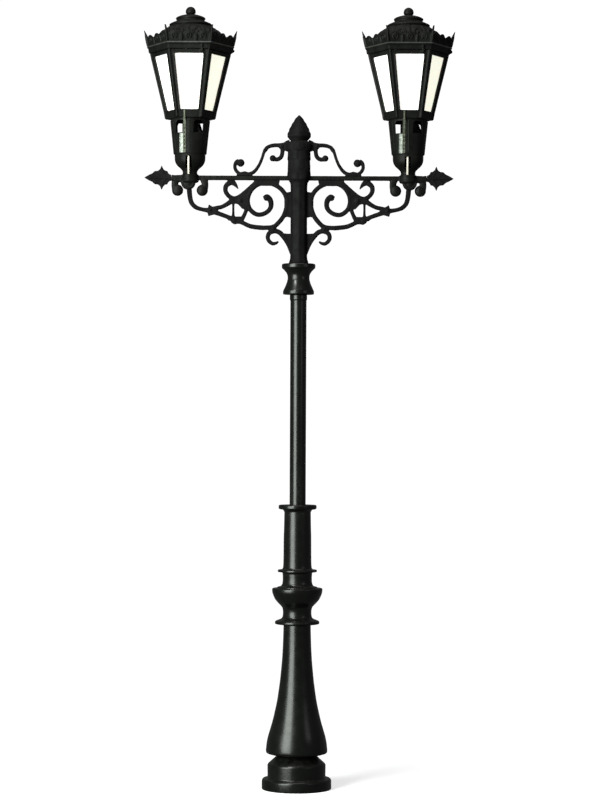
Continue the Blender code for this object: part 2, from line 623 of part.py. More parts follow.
def ball_finial():
    foot = 5.175 + GAP
    centre = LANTERN_TOP - BALL_R
    loop = [(0.0, foot), (sqrt(BALL_R ** 2 - (centre - foot) ** 2), foot)]
    for degrees in (0, 30, 60):
        loop.append((BALL_R * cos(radians(degrees)), centre + BALL_R * sin(radians(degrees))))
    loop.append((0.0, LANTERN_TOP))
    return turned(loop, 12)


def latch():
    """Turn button: disc, tab down over the keeper, and a grip across the disc."""
    disc = prism(circle((LATCH_X, LATCH_Z), 0.011, 12), 0.004, -0.2502)
    tab = box((LATCH_X - 0.006, -0.2500, 4.898), (LATCH_X + 0.006, -0.2464, LATCH_Z))
    grip = box((LATCH_X - 0.003, -0.2610, LATCH_Z - 0.009), (LATCH_X + 0.003, -0.2530, LATCH_Z + 0.009))
    return combine([disc, tab, grip])


def build_lantern(name, side, mats):
    offset = Vector((side * LANTERN_X, 0, 0))
    hinge_point = offset + Vector((0, HINGE_Y, HINGE_Z))
    latch_point = offset + Vector((LATCH_X, -0.2502, LATCH_Z))
    canopy_axis = axis_empty(f"{name}_canopy_axis", hinge_point)
    latch_axis = axis_empty(f"{name}_latch_axis", latch_point)
    latch_axis.parent = canopy_axis
    latch_axis.location = latch_point - hinge_point

    def add(piece, bm, mat, origin=offset, parent=None):
        bm.transform(Matrix.Translation(offset))
        return place(f"{name}_{piece}", bm, mats[mat], origin, parent)

    add("socket", lantern_socket(), "rough")
    add("gear_channel", gear_channel(), "zinc")
    lantern_cable(f"{name}_lantern_cable", mats["cable"], offset)
    add("lantern_frame", lantern_frame(), "rough")
    for number in range(6):
        add(f"pane_{number + 1}", lantern_pane(60 * number), "glass")
    add("lamp_plate", lamp_plate(), "housing")
    add("lamp", lamp(), "lamp")
    add("canopy_hinge_pin", rod(PIN_R, 0.061, Matrix.Translation((0, HINGE_Y, HINGE_Z))), "steel")
    add("gallery", gallery(), "rough", hinge_point, canopy_axis)
    add("dome", dome(), "rough", hinge_point, canopy_axis)
    add("vent_cowl", vent_cowl(), "paint", hinge_point, canopy_axis)
    add("ball_finial", ball_finial(), "paint", hinge_point, canopy_axis)
    button = add("latch", latch(), "paint", latch_point)
    button.parent = latch_axis
    button.location = (0, 0, 0)


def main():
    clear_scene()
    mats = make_materials()
    build_column(mats)
    build_service_door(mats)
    build_arms(mats)
    for name, side in (("left", -1), ("right", 1)):
        build_lantern(name, side, mats)


main()
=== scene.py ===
"""Looks of the twin-lantern street lamp post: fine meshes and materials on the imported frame.

Metres, +Z up, arms along X, front towards -Y. Moving pieces ride on the frame's bodies.
"""

import json
from math import cos, exp, hypot, pi, radians, sin

import bmesh
import bpy
from mathutils import Matrix, Vector, noise


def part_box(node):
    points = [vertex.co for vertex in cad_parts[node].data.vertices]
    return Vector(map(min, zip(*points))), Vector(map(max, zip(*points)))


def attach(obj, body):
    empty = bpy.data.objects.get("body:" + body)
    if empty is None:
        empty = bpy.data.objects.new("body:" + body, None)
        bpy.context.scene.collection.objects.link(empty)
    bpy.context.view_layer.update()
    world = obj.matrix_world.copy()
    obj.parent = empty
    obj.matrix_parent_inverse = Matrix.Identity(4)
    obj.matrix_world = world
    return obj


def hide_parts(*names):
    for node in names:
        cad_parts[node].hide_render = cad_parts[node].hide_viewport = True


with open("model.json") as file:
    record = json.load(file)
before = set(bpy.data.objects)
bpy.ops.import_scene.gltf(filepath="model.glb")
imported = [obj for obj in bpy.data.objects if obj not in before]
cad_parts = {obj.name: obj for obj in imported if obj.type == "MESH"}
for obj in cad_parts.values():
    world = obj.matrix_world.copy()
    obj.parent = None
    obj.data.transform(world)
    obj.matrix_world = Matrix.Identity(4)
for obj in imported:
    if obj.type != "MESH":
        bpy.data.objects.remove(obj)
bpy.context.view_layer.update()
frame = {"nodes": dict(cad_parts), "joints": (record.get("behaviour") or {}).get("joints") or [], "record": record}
POST = "post"  # the body that everything fixed rides on

# ---- sizes taken from the frame
FINE = 96  # sides of a fine turned piece
GAP = 0.0003  # clearance between pieces that meet


def node_box(node):
    low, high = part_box(node)
    return Vector(low), Vector(high)


def top_of(node):
    return node_box(node)[1].z


def bottom_of(node):
    return node_box(node)[0].z


def joint_called(name):
    return next(joint for joint in frame["joints"] if joint["name"] == name)


def joint_point(name):
    return Vector(joint_called(name)["pos_m"])


ARM_TIP = node_box("right_end_finial")[1].x
ARM_Z = (bottom_of("right_end_finial") + top_of("right_end_finial")) / 2
LANTERN_X = sum(node_box("right_socket")[k].x for k in (0, 1)) / 2
NECK_BOTTOM = bottom_of("right_socket")
NECK_TOP = top_of("right_socket") + GAP


# ---- materials
def new_material(name):
    made = bpy.data.materials.new(name)
    made.use_nodes = True
    tree = made.node_tree
    return made, tree, tree.nodes["Principled BSDF"]


def preset(node, **values):
    """Set a node's inputs; an underscore in a keyword stands for a space in the input's name."""
    for key, value in values.items():
        node.inputs[key.replace("_", " ")].default_value = value


def noise_node(tree, scale, detail=4.0):
    coords = tree.nodes.new("ShaderNodeTexCoord")
    texture = tree.nodes.new("ShaderNodeTexNoise")
    preset(texture, Scale=scale, Detail=detail, Roughness=0.55)
    tree.links.new(coords.outputs["Object"], texture.inputs["Vector"])
    return texture.outputs["Fac"]


def spread(tree, value, low, high, out_low=0.0, out_high=1.0):
    remap = tree.nodes.new("ShaderNodeMapRange")
    preset(remap, From_Min=low, From_Max=high, To_Min=out_low, To_Max=out_high)
    tree.links.new(value, remap.inputs["Value"])
    return remap.outputs["Result"]


def facing(tree, axis, low, high, most):
    """Zero where the surface hardly faces the axis, up to most where it faces it fully."""
    geometry = tree.nodes.new("ShaderNodeNewGeometry")
    split = tree.nodes.new("ShaderNodeSeparateXYZ")
    tree.links.new(geometry.outputs["Normal"], split.inputs["Vector"])
    return spread(tree, split.outputs[axis], low, high, 0.0, most)


def blend_colour(tree, factor, first, second):
    """Mix two colours; each is a tuple or the output of an earlier mix."""
    mix = tree.nodes.new("ShaderNodeMix")
    mix.data_type = "RGBA"
    tree.links.new(factor, mix.inputs["Factor"])
    for socket, value in ((mix.inputs[6], first), (mix.inputs[7], second)):
        if isinstance(value, tuple):
            socket.default_value = (*value, 1.0)
        else:
            tree.links.new(value, socket)
    return mix.outputs[2]


def multiply(tree, first, second):
    node = tree.nodes.new("ShaderNodeMath")
    node.operation = "MULTIPLY"
    tree.links.new(first, node.inputs[0])
    tree.links.new(second, node.inputs[1])
    return node.outputs[0]


def bump(tree, shader, layers):
    """Stack bump layers; each is (height, strength, distance in metres)."""
    normal = None
    for height, strength, distance in layers:
        node = tree.nodes.new("ShaderNodeBump")
        preset(node, Strength=strength, Distance=distance)
        tree.links.new(height, node.inputs["Height"])
        if normal is not None:
            tree.links.new(normal, node.inputs["Normal"])
        normal = node.outputs["Normal"]
    tree.links.new(normal, shader.inputs["Normal"])


DUST = (0.05, 0.05, 0.044)


def iron_material(name, dark, light, gloss, grain, specular, edge_wear_and_highlight):
    """Painted casting: mottled black, dust on upward faces, edges lightened partly as wear and partly as a painted
    highlight, cast grain in the surface.
    """
    made, tree, shader = new_material(name)
    mottle = spread(tree, noise_node(tree, 14.0), 0.35, 0.7)
    colour = blend_colour(tree, mottle, dark, light)
    geometry = tree.nodes.new("ShaderNodeNewGeometry")
    # convex edges lightened: worn paint, and also a painted highlight where light catches the edges
    edge = spread(tree, geometry.outputs["Pointiness"], 0.53, 0.62)
    patchy = spread(tree, noise_node(tree, 60.0), 0.42, 0.62, 0.1, 0.75)
    colour = blend_colour(tree, multiply(tree, edge, patchy), colour, edge_wear_and_highlight)
    upward = facing(tree, "Z", 0.55, 1.0, 0.35)
    settled = spread(tree, noise_node(tree, 35.0), 0.4, 0.65)
    colour = blend_colour(tree, multiply(tree, upward, settled), colour, DUST)
    tree.links.new(colour, shader.inputs["Base Color"])
    low, high = gloss
    uneven = spread(tree, noise_node(tree, 22.0, 5.0), 0.3, 0.7, low, high)
    tree.links.new(uneven, shader.inputs["Roughness"])
    preset(shader, Specular_IOR_Level=specular)
    coarse, fine = grain
    bump(tree, shader, [(noise_node(tree, 45.0, 3.0), coarse, 0.002),
                        (noise_node(tree, 420.0, 4.0), fine, 0.0006)])
    return made


def opal_material():
    """White opal glass lit from within; the panes that face +X glow a dimmer, warmer white, a painted shade on the
    side turned from the key light.
    """
    made, tree, shader = new_material("opal_glass")
    cloud = spread(tree, noise_node(tree, 3.0, 2.0), 0.3, 0.7)
    colour = blend_colour(tree, cloud, (0.93, 0.93, 0.87), (0.97, 0.96, 0.92))
    tree.links.new(colour, shader.inputs["Base Color"])
    # panes facing +X get a dimmer, yellower glow: painted shade on that side
    glow_with_painted_shade = blend_colour(tree, facing(tree, "X", 0.2, 0.85, 1.0), (1.0, 0.99, 0.95), (0.94, 0.95, 0.8))
    tree.links.new(glow_with_painted_shade, shader.inputs["Emission Color"])
    preset(shader, Emission_Strength=0.86, Roughness=0.28, Subsurface_Weight=0.1)
    bump(tree, shader, [(noise_node(tree, 30.0, 2.0), 0.15, 0.0008)])
    return made


def plain_material(name, dark, light, gloss, metal, scale, depth=0.0004):
    """Two-tone material with uneven gloss and a light surface grain."""
    made, tree, shader = new_material(name)
    mottle = spread(tree, noise_node(tree, scale), 0.35, 0.65)
    tree.links.new(blend_colour(tree, mottle, dark, light), shader.inputs["Base Color"])
    tree.links.new(spread(tree, mottle, 0.0, 1.0, *gloss), shader.inputs["Roughness"])
    preset(shader, Metallic=metal)
    bump(tree, shader, [(noise_node(tree, scale * 8, 3.0), 0.4, depth)])
    return made


MATERIALS = {
    "black_paint": iron_material(
        "satin_black_paint", (0.0028, 0.003, 0.0026), (0.005, 0.0056, 0.0048),
        gloss=(0.23, 0.3), grain=(0.05, 0.11), specular=0.42, edge_wear_and_highlight=(0.022, 0.024, 0.019)),
    "rough_black_iron": iron_material(
        "rough_black_iron", (0.0045, 0.0045, 0.0046), (0.009, 0.009, 0.0088),
        gloss=(0.55, 0.75), grain=(0.8, 0.65), specular=0.07, edge_wear_and_highlight=(0.026, 0.026, 0.021)),
    "opal_glass": opal_material(),
    "galvanised": plain_material(
        "galvanised_steel", (0.46, 0.5, 0.45), (0.66, 0.7, 0.64), (0.35, 0.55), 0.55, 55.0),
    "steel": plain_material("steel_pin", (0.26, 0.26, 0.25), (0.4, 0.4, 0.39), (0.25, 0.42), 0.95, 90.0),
    "cream_cable": plain_material(
        "cream_cable", (0.74, 0.68, 0.58), (0.84, 0.79, 0.7), (0.42, 0.55), 0.0, 70.0),
    "lamp_glass": plain_material(
        "frosted_lamp", (0.86, 0.86, 0.82), (0.94, 0.94, 0.9), (0.3, 0.42), 0.0, 25.0),
    "board": plain_material("grey_board", (0.26, 0.27, 0.28), (0.36, 0.37, 0.38), (0.55, 0.7), 0.0, 80.0),
    "housing": plain_material(
        "moulded_housing", (0.008, 0.008, 0.009), (0.014, 0.014, 0.016), (0.1, 0.22), 0.0, 50.0, 0.0001),
}
MATERIALS["black_paint_steel"] = MATERIALS["black_paint"]
CANOPY_IRON = iron_material(
    "canopy_iron", (0.004, 0.0042, 0.0038), (0.0085, 0.0088, 0.0078),
    gloss=(0.38, 0.55), grain=(0.32, 0.3), specular=0.11, edge_wear_and_highlight=(0.026, 0.027, 0.021))
# lighter paint on the canopy's ledge bead: a painted highlight along the ledge
LEDGE_HIGHLIGHT_PAINT = iron_material(
    "ledge_painted_highlight", (0.018, 0.019, 0.017), (0.05, 0.052, 0.046),
    gloss=(0.36, 0.44), grain=(0.2, 0.2), specular=0.95, edge_wear_and_highlight=(0.03, 0.032, 0.024))
DULL_ZINC = plain_material("dull_zinc", (0.07, 0.08, 0.05), (0.16, 0.17, 0.13), (0.4, 0.6), 0.3, 60.0)
OWN_PAINT = {"rail": DULL_ZINC, "ledge": LEDGE_HIGHLIGHT_PAINT}  # parts painted otherwise than their slot; the ledge bead's lighter, glossier paint is a painted highlight
OWN_PAINT |= dict.fromkeys(("arm_bar", "socket", "lantern_frame", "gallery", "dome", "vent_cowl",
                            "ball_finial", "latch"), CANOPY_IRON)
SLOT_OF = {part["node"]: part["material_slot"] for part in frame["record"]["subparts"]}


# ---- mesh helpers
def new_object(name, data):
    thing = bpy.data.objects.new(name, data)
    bpy.context.scene.collection.objects.link(thing)
    return thing


def as_mesh(bm, name="piece"):
    mesh = bpy.data.meshes.new(name)
    bm.to_mesh(mesh)
    bm.free()
    return mesh


def finish(name, bm, node, body, smooth_angle=38):
    install(name, as_mesh(bm, name), node, body, smooth_angle)


def install(name, mesh, node, body, smooth_angle=38, paint=None):
    """Make the object, paint it with its node's slot, and put it in the frame in that node's place."""
    mesh.materials.clear()
    mesh.materials.append(paint or MATERIALS[SLOT_OF[node]])
    mesh.shade_smooth()
    mesh.set_sharp_from_angle(angle=radians(smooth_angle))
    thing = new_object(name, mesh)
    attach(thing, body)
    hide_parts(node)


def fill(bm, rings, closed):
    """Join equal rings of vertices with quads; closed also joins the last ring to the first."""
    pairs = list(zip(rings, rings[1:]))
    if closed:
        pairs.append((rings[-1], rings[0]))
    for low, high in pairs:
        count = max(len(low), len(high))
        if count == 1:
            continue
        for i in range(count):
            j = (i + 1) % count
            corners = [low[i % len(low)], low[j % len(low)], high[j % len(high)], high[i % len(high)]]
            bm.faces.new(list(dict.fromkeys(corners)))


def mm(points):
    """Points written in millimetres, as metres."""
    return [tuple(round(value / 1000, 6) for value in point) for point in points]


def flow(points, steps=4):
    """Round an outline's corners. A third number in a point limits its rounding, for a crisp edge."""
    rounded = [Vector(points[0][:2])]
    for before, corner, after in zip(points, points[1:], points[2:]):
        limit = corner[2] if len(corner) > 2 else 1.0
        middle = Vector(corner[:2])
        back = Vector(before[:2]) - middle
        ahead = Vector(after[:2]) - middle
        start = middle + back.normalized() * min(limit, back.length / 2)
        end = middle + ahead.normalized() * min(limit, ahead.length / 2)
        for k in range(steps + 1):
            t = k / steps
            rounded.append(start * (1 - t) ** 2 + middle * 2 * t * (1 - t) + end * t * t)
    rounded.append(Vector(points[-1][:2]))
    kept = [rounded[0]]
    for point in rounded[1:]:
        if (point - kept[-1]).length > 1e-6:
            kept.append(point)
    return [tuple(point) for point in kept]


def dense(points, step):
    """Divide an outline's long stretches, so that relief can follow them."""
    result = [points[0]]
    for a, b in zip(points, points[1:]):
        count = max(1, int(hypot(b[0] - a[0], b[1] - a[1]) / step))
        for k in range(1, count + 1):
            result.append(tuple(p + (q - p) * k / count for p, q in zip(a, b)))
    return result


def lathe(outer, bore=None, sides=FINE, centre=(0.0, 0.0), relief=None, under=()):
    """Turned solid from (radius, z) points, hollow by a straight bore or by an inner line, under.

    relief(angle, radius, z) may move the outer surface.
    """
    bm = bmesh.new()
    inner = list(under)
    if bore is not None:
        inner = [(bore, outer[-1][1]), (bore, outer[0][1])]
    rings = []
    for index, (radius, z) in enumerate([*outer, *inner]):
        ring = []
        count = 1 if radius < 1e-6 else sides
        for i in range(count):
            angle = 2 * pi * i / sides
            r = radius
            if relief is not None and 0 < index < len(outer) - 1:
                r = relief(angle, radius, z)
            ring.append(bm.verts.new((centre[0] + r * cos(angle), centre[1] + r * sin(angle), z)))
        rings.append(ring)
    fill(bm, rings, closed=True)
    bmesh.ops.recalc_face_normals(bm, faces=bm.faces)
    return bm


def smooth_path(points, steps):
    """Catmull-Rom curve through points of any number of values."""
    first = tuple(2 * a - b for a, b in zip(points[0], points[1]))
    last = tuple(2 * a - b for a, b in zip(points[-1], points[-2]))
    knots = [first, *points, last]
    path = []
    for i in range(1, len(knots) - 2):
        for k in range(steps):
            t = k / steps
            path.append(tuple(0.5 * (2 * b + (c - a) * t + (2 * a - 5 * b + 4 * c - d) * t * t
                                     + (3 * b - a - 3 * c + d) * t ** 3)
                              for a, b, c, d in zip(*knots[i - 1:i + 3])))
    path.append(tuple(points[-1]))
    return path


def scroll(bm, points, depth, steps=6, square=2.8, sides=16):
    """Add a scroll stroke: (x, z, width) centreline in the XZ plane, with a soft squarish section."""
    path = smooth_path(points, steps)
    rings = []
    count = len(path)
    for i, (x, z, width) in enumerate(path):
        a = path[max(i - 1, 0)]
        b = path[min(i + 1, count - 1)]
        run = Vector((b[0] - a[0], b[1] - a[1])).normalized()
        ring = []
        for k in range(sides):
            angle = 2 * pi * k / sides
            across = abs(cos(angle)) ** (2 / square) * (1 if cos(angle) > 0 else -1) * width / 2
            along = abs(sin(angle)) ** (2 / square) * (1 if sin(angle) > 0 else -1) * depth / 2
            ring.append(bm.verts.new((x - run.y * across, along, z + run.x * across)))
        rings.append(ring)
    fill(bm, rings, closed=False)
    bm.faces.new(rings[0][::-1])
    bm.faces.new(rings[-1])


def knob(bm, centre, radius, scale=(1, 1, 1)):
    size = Matrix.Diagonal((*scale, 1))
    bmesh.ops.create_uvsphere(bm, u_segments=24, v_segments=14, radius=radius,
                              matrix=Matrix.Translation(centre) @ size)


def slab(bm, outline, half_depth, y=0.0):
    """Add an (x, z) outline extruded along Y."""
    front = [bm.verts.new((x, y - half_depth, z)) for x, z in outline]
    back = [bm.verts.new((x, y + half_depth, z)) for x, z in outline]
    faces = [bm.faces.new(front), bm.faces.new(back[::-1])]
    for i in range(len(outline)):
        j = (i + 1) % len(outline)
        faces.append(bm.faces.new((front[i], front[j], back[j], back[i])))
    bmesh.ops.triangulate(bm, faces=faces[:2])


Z_TO_MINUS_Y = Matrix.Rotation(pi / 2, 4, "X")
Z_TO_PLUS_Y = Matrix.Rotation(-pi / 2, 4, "X")


def merge(bm, other):
    """Add another bmesh to this one and free it."""
    mesh = as_mesh(other)
    bm.from_mesh(mesh)
    bpy.data.meshes.remove(mesh)


def spun(bm, degrees):
    bm.transform(Matrix.Rotation(radians(degrees), 4, "Z"))
    return bm


def add_lathe(bm, outer, at, sides=40, towards="Z"):
    """Add a turned solid about a point, its profile (radius, height) standing on the named axis."""
    piece = lathe(outer, sides=sides)
    turn = {"Z": Matrix.Identity(4), "-Y": Z_TO_MINUS_Y, "+Y": Z_TO_PLUS_Y}[towards]
    piece.transform(Matrix.Translation(at) @ turn)
    merge(bm, piece)


def work_object(bm):
    bmesh.ops.recalc_face_normals(bm, faces=bm.faces)
    return new_object("work", as_mesh(bm, "work"))


def evaluated(work):
    bpy.context.view_layer.update()
    shape = work.evaluated_get(bpy.context.evaluated_depsgraph_get())
    return bpy.data.meshes.new_from_object(shape)


def roughen(mesh, amount, grain=60.0):
    """Give a casting an uneven sand-cast surface."""
    normals = [vert.normal.copy() for vert in mesh.vertices]
    for vert, normal in zip(mesh.vertices, normals):
        lift = noise.noise(vert.co * grain) + 0.5 * noise.noise(vert.co * grain * 2.3)
        vert.co += normal * lift * amount
    return mesh


def cast(bm, voxel, smooth=4, rough=0.0006):
    """Fuse overlapping solids into one casting, soften its corners and give it a sand-cast surface."""
    work = work_object(bm)
    fuse = work.modifiers.new("fuse", "REMESH")
    fuse.mode = "VOXEL"
    fuse.voxel_size = voxel
    soften = work.modifiers.new("soften", "SMOOTH")
    soften.factor = 0.5
    soften.iterations = smooth
    mesh = evaluated(work)
    bpy.data.objects.remove(work, do_unlink=True)
    return roughen(mesh, rough, 70.0)


def mirrored(mesh):
    """Copy of a mesh reflected to the other arm."""
    bm = bmesh.new()
    bm.from_mesh(mesh)
    bm.transform(Matrix.Diagonal((-1, 1, 1, 1)))
    bmesh.ops.reverse_faces(bm, faces=bm.faces)
    return as_mesh(bm, mesh.name)


def block(bm, low, high, place=None):
    """Add a box between two corners, moved by a matrix."""
    made = bmesh.ops.create_cube(bm, size=1.0)["verts"]
    for vert in made:
        vert.co = Vector(low[k] if vert.co[k] < 0 else high[k] for k in range(3))
    if place is not None:
        bmesh.ops.transform(bm, matrix=place, verts=made)


def rod(bm, radius, low, high, place, sides=32):
    """Add a cylinder along the local Z axis of a matrix, from low to high."""
    middle = Matrix.Translation((0, 0, (low + high) / 2))
    bmesh.ops.create_cone(bm, cap_ends=True, segments=sides, radius1=radius, radius2=radius,
                          depth=high - low, matrix=place @ middle)


def new_block(low, high, place=None):
    bm = bmesh.new()
    block(bm, low, high, place)
    return bm


def new_rod(radius, low, high, place):
    bm = bmesh.new()
    rod(bm, radius, low, high, place)
    return bm


def carved(solids, cutters=(), bevel=0.0, segments=2):
    """Union of solids less cutters, with its sharp edges bevelled; each item is a bmesh."""
    work = [work_object(bm) for bm in (*solids, *cutters)]
    base = work[0]
    for index, other in enumerate(work[1:], start=1):
        step = base.modifiers.new("step", "BOOLEAN")
        step.operation = "UNION" if index < len(solids) else "DIFFERENCE"
        step.solver = "EXACT"
        step.object = other
    if bevel:
        edge = base.modifiers.new("edge", "BEVEL")
        edge.width = bevel
        edge.segments = segments
        edge.limit_method = "ANGLE"
        edge.angle_limit = radians(40)
        edge.use_clamp_overlap = True
    result = evaluated(base)
    for item in work:
        bpy.data.objects.remove(item, do_unlink=True)
    return result


# ---- column
TURNINGS = (  # piece, its node, bore, rounding steps, outline in mm
    ("plinth", "base_plinth", 0.04, 4,
     [(229, 0), (232.5, 3, 2), (232.5, 62, 9), (222, 71.5, 4), (197, 73, 3), (194, 78, 3), (194.5, 162, 5),
      (188.5, 171.5, 5), (133.5, 220.5, 3), (131, 224)]),
    ("bowl", "bowl_collar", 0.07, 5,
     [(91.5, 1092.3), (99, 1096, 3), (138, 1098.5, 4), (148.2, 1102, 3), (148.8, 1108), (148.2, 1117, 3),
      (142, 1122.5), (115, 1132), (103, 1139), (97.5, 1149), (94.6, 1172), (96.2, 1198), (102, 1214),
      (113, 1226), (127.5, 1240), (140, 1254), (151, 1269), (160, 1290), (167, 1309), (168.5, 1322),
      (168.5, 1335.5, 4), (164, 1339.5, 4), (135, 1340.5, 2), (133, 1348, 3), (108, 1354, 8), (99.5, 1370),
      (96.8, 1395), (98.5, 1434)]),
    ("sleeve", "lower_sleeve", 0.07, 5,
     [(98.5, 1434.3), (100.5, 1443), (106, 1446.5), (129, 1447.5, 2), (131.2, 1451, 2), (131, 1460, 2),
      (127, 1462.5, 2), (106, 1464), (98.5, 1470), (95, 1480), (93, 1527), (92.5, 1690), (90.5, 1730),
      (88.5, 1848)]),
    ("flange", "sleeve_flange", 0.03, 5,
     [(90, 1848.3), (92.5, 1856), (100, 1864, 5), (122, 1866.5, 4), (127.2, 1872, 4), (127.2, 1890, 5),
      (122, 1895.7, 3), (70, 1895.7)]),
    ("shaft", "shaft_tube", 0.048, 4,
     [(54, 1896), (54, 2600), (54, 3262, 3), (58, 3268, 3), (58, 3296, 3), (55, 3302.7)]),
    ("capital_turning", "capital", 0.03, 5,
     [(97, 3303), (103, 3304, 3), (104.2, 3310, 3), (103.6, 3326, 4), (95, 3344), (86, 3364), (78.5, 3384),
      (73.8, 3401), (72.8, 3417), (74.8, 3433), (82, 3448), (90.5, 3459), (100, 3469), (108.5, 3476),
      (112.5, 3482, 3), (112.7, 3502, 3), (108, 3508, 3), (100, 3508)]))


def bell_profile():
    return flow(mm([
        (133, 224.3), (158, 228), (196, 237.5), (204.5, 243), (205.8, 256), (203, 290), (198, 324),
        (189.5, 360), (178.5, 395), (160.5, 457), (145, 524), (131, 591), (121.5, 658), (112.5, 725),
        (106, 792), (100, 859), (96, 925), (93.2, 1000), (91, 1092)]), 5)


def bell_bore():
    return mm([
        (80, 1092), (88, 800), (104, 670), (140, 480), (176, 330), (185, 266), (118, 240), (118, 224.3)])


FLUTES_END = 4.062  # top of the head's plain fluted part
LEAF_ROW = 0.066  # height of one row of leaves above it


def head_relief(angle, radius, z):
    """Eight shallow flutes below, overlapping leaves with midribs above."""
    if z < FLUTES_END:
        return radius + 0.0013 * cos(8 * angle)
    row = (z - 4.068) / LEAF_ROW
    turn = 6 * angle + (pi if int(row) % 2 else 0.0)
    leaf = 0.5 + 0.5 * cos(turn)
    tip = row % 1.0
    vein = 0.001 * cos(9 * turn) * (1 - leaf)
    return radius - 0.0045 + 0.0045 * leaf ** 0.6 * (1.0 - 0.75 * tip ** 3) + vein


def spear_relief(angle, radius, z):
    """Four leaf blades with raised midribs and saw-cut edges."""
    blade = abs(cos(2 * angle))
    saw = 0.0013 * cos((z - 4.33) * 190 + 3 * blade)
    return radius * (0.9 + 0.1 * blade ** 2) + saw * blade ** 6


def build_column():
    for name, node, bore, steps, outline in TURNINGS:
        finish(name, lathe(flow(mm(outline), steps), bore), node, POST)
    head = flow(mm([
        (60, 3508.3), (64, 3514, 3), (62, 3524), (56, 3540), (54.5, 3600), (54.5, 3900), (54.5, 4030),
        (58, 4055), (74.5, 4067, 6), (80, 4090), (78.5, 4200), (76.5, 4256), (83, 4270), (88, 4290),
        (88, 4312), (76, 4325), (60, 4330)]), 4)
    outer = dense(head, 0.006)
    core = mm([(0, 4330), (0, 4110), (30, 4110), (30, 3508.3)])
    post = as_mesh(lathe(outer, relief=head_relief, under=core, sides=144))
    install("head_casting", roughen(post, 0.0007), "head_post", POST, 60)
    spear = flow(mm([
        (0, 4330.3), (57, 4330.3, 3), (62, 4340, 4), (79.5, 4359, 2), (80, 4365), (76.5, 4384), (68, 4406),
        (58, 4427), (46.5, 4448), (33.5, 4469), (20.5, 4488), (9, 4501), (0, 4506)]), 4)
    tip = as_mesh(lathe(dense(spear, 0.004), relief=spear_relief, sides=128))
    install("spearhead", roughen(tip, 0.0006), "spear_finial", POST, 60)


def door_place():
    """Local frame of the door: X across, Y out of the seat, Z up along it."""
    up = -Vector(joint_called("service_door_hinge")["axis"])
    across = Vector((1, 0, 0))
    turn = Matrix((across, up.cross(across), up)).transposed().to_4x4()
    return Matrix.Translation(joint_point("service_door_hinge")) @ turn


HINGE_TO_SEAT = 0.0045  # the hinge axis stands this far off the door seat
DOOR_REACH = 0.083  # and this far to the side of the door's centre
KNUCKLE_R = 0.007


def build_door():
    pin_place = door_place()
    seat_place = pin_place @ Matrix.Translation((-DOOR_REACH, -HINGE_TO_SEAT, 0))
    bell = lathe(bell_profile(), under=bell_bore())
    seat = new_block((-0.0785, -0.05, -0.172), (0.0755, 0.0, 0.172), seat_place)
    bmesh.ops.bevel(seat, geom=seat.edges[:], offset=0.006, segments=3, profile=0.5, affect="EDGES")
    opening = new_block((-0.055, -0.12, -0.138), (0.055, 0.01, 0.138), seat_place)
    lugs = []
    for low, high in ((-0.125, -0.09), (0.09, 0.125)):
        lugs.append(new_rod(KNUCKLE_R, low, high, pin_place))
        lugs.append(new_block((0.07, -0.02, low + 0.001), (DOOR_REACH, -0.0015, high - 0.001), seat_place))
    install("bell", carved([bell, seat, *lugs], [opening]), "base_bell", POST, 34)

    leaf = new_block((-0.074, GAP, -0.16), (0.074, 0.0066, 0.16), seat_place)
    field = new_block((-0.056, 0.004, -0.142), (0.056, 0.0083, 0.142), seat_place)
    panel = new_block((-0.045, 0.0064, -0.13), (0.045, 0.02, 0.13), seat_place)
    strap = new_block((0.06, 0.001, -0.079), (DOOR_REACH, 0.0066, 0.079), seat_place)
    knuckle = new_rod(KNUCKLE_R, -0.08, 0.08, pin_place)
    boss = new_rod(0.014, 0.003, 0.0083, seat_place @ Matrix.Translation((-0.056, 0, 0)) @ Z_TO_PLUS_Y)
    mesh = carved([leaf, field, strap, knuckle, boss], [panel], 0.001)
    install("door_leaf", mesh, "service_door", "service_door", 34)

    lock_place = seat_place @ Matrix.Translation((-0.064, 0, 0)) @ Z_TO_PLUS_Y
    lock = new_rod(0.0095, 0.0086, 0.013, lock_place)
    key = new_block((-0.0034, -0.0034, 0.01), (0.0034, 0.0034, 0.0195), lock_place)
    install("lock_head", carved([lock, key], bevel=0.0007), "door_lock", "door_lock")
    pin = new_rod(0.0038, -0.13, 0.13, pin_place)
    install("door_pin", carved([pin], bevel=0.0008), "door_hinge_pin", POST)


def build_inner_fittings():
    """Backboard with its edges dressed, the fused cut-out, and the supply cable."""
    board = new_block(*node_box("fuse_board"))
    install("backboard", carved([board], bevel=0.0015), "fuse_board", POST)
    low, high = node_box("cutout_box")
    case = new_block((low.x, low.y, low.z + 0.04), high)
    tail = new_block((-0.014, 0.022, low.z), (0.014, 0.046, low.z + 0.045))
    install("cutout_case", carved([case, tail], bevel=0.003, segments=3), "cutout_box", POST)
    low, high = node_box("column_cable")
    radius = high.x - 0.0002
    cable = [(0.0, low.z), (radius, low.z), (radius, high.z), (0.0, high.z)]
    finish("supply_cable", lathe(cable, centre=(0.0, (low.y + high.y) / 2), sides=24), "column_cable", POST)


# ---- arms
def on_arm(points, heavier=1.0):
    """Points given as (distance from the post, height above the bar, width) to world x and z."""
    return [(p[0], ARM_Z + p[1], *(w * heavier for w in p[2:])) for p in points]


def strokes(bm, swell, *drawn):
    """Add scroll strokes to an arm's casting; each is (points, depth)."""
    for points, depth in drawn:
        scroll(bm, on_arm(points, swell), depth)


def end_ball(bm, u, v, radius, flat):
    knob(bm, (u, 0, ARM_Z + v), radius, (1, flat, 1))


def rosette(bm, u, v, radius, depth):
    """Small four-petal flower with a centre bead on both faces of a casting."""
    for side, towards in ((-1, "-Y"), (1, "+Y")):
        at = (u, side * (depth - 0.002), ARM_Z + v)
        profile = flow([(0.0, -0.004), (radius, -0.004), (radius, 0.003, 0.002), (radius * 0.62, 0.006),
                        (radius * 0.5, 0.004), (radius * 0.42, 0.01), (0.0, 0.012)])
        add_lathe(bm, profile, at, 32, towards)


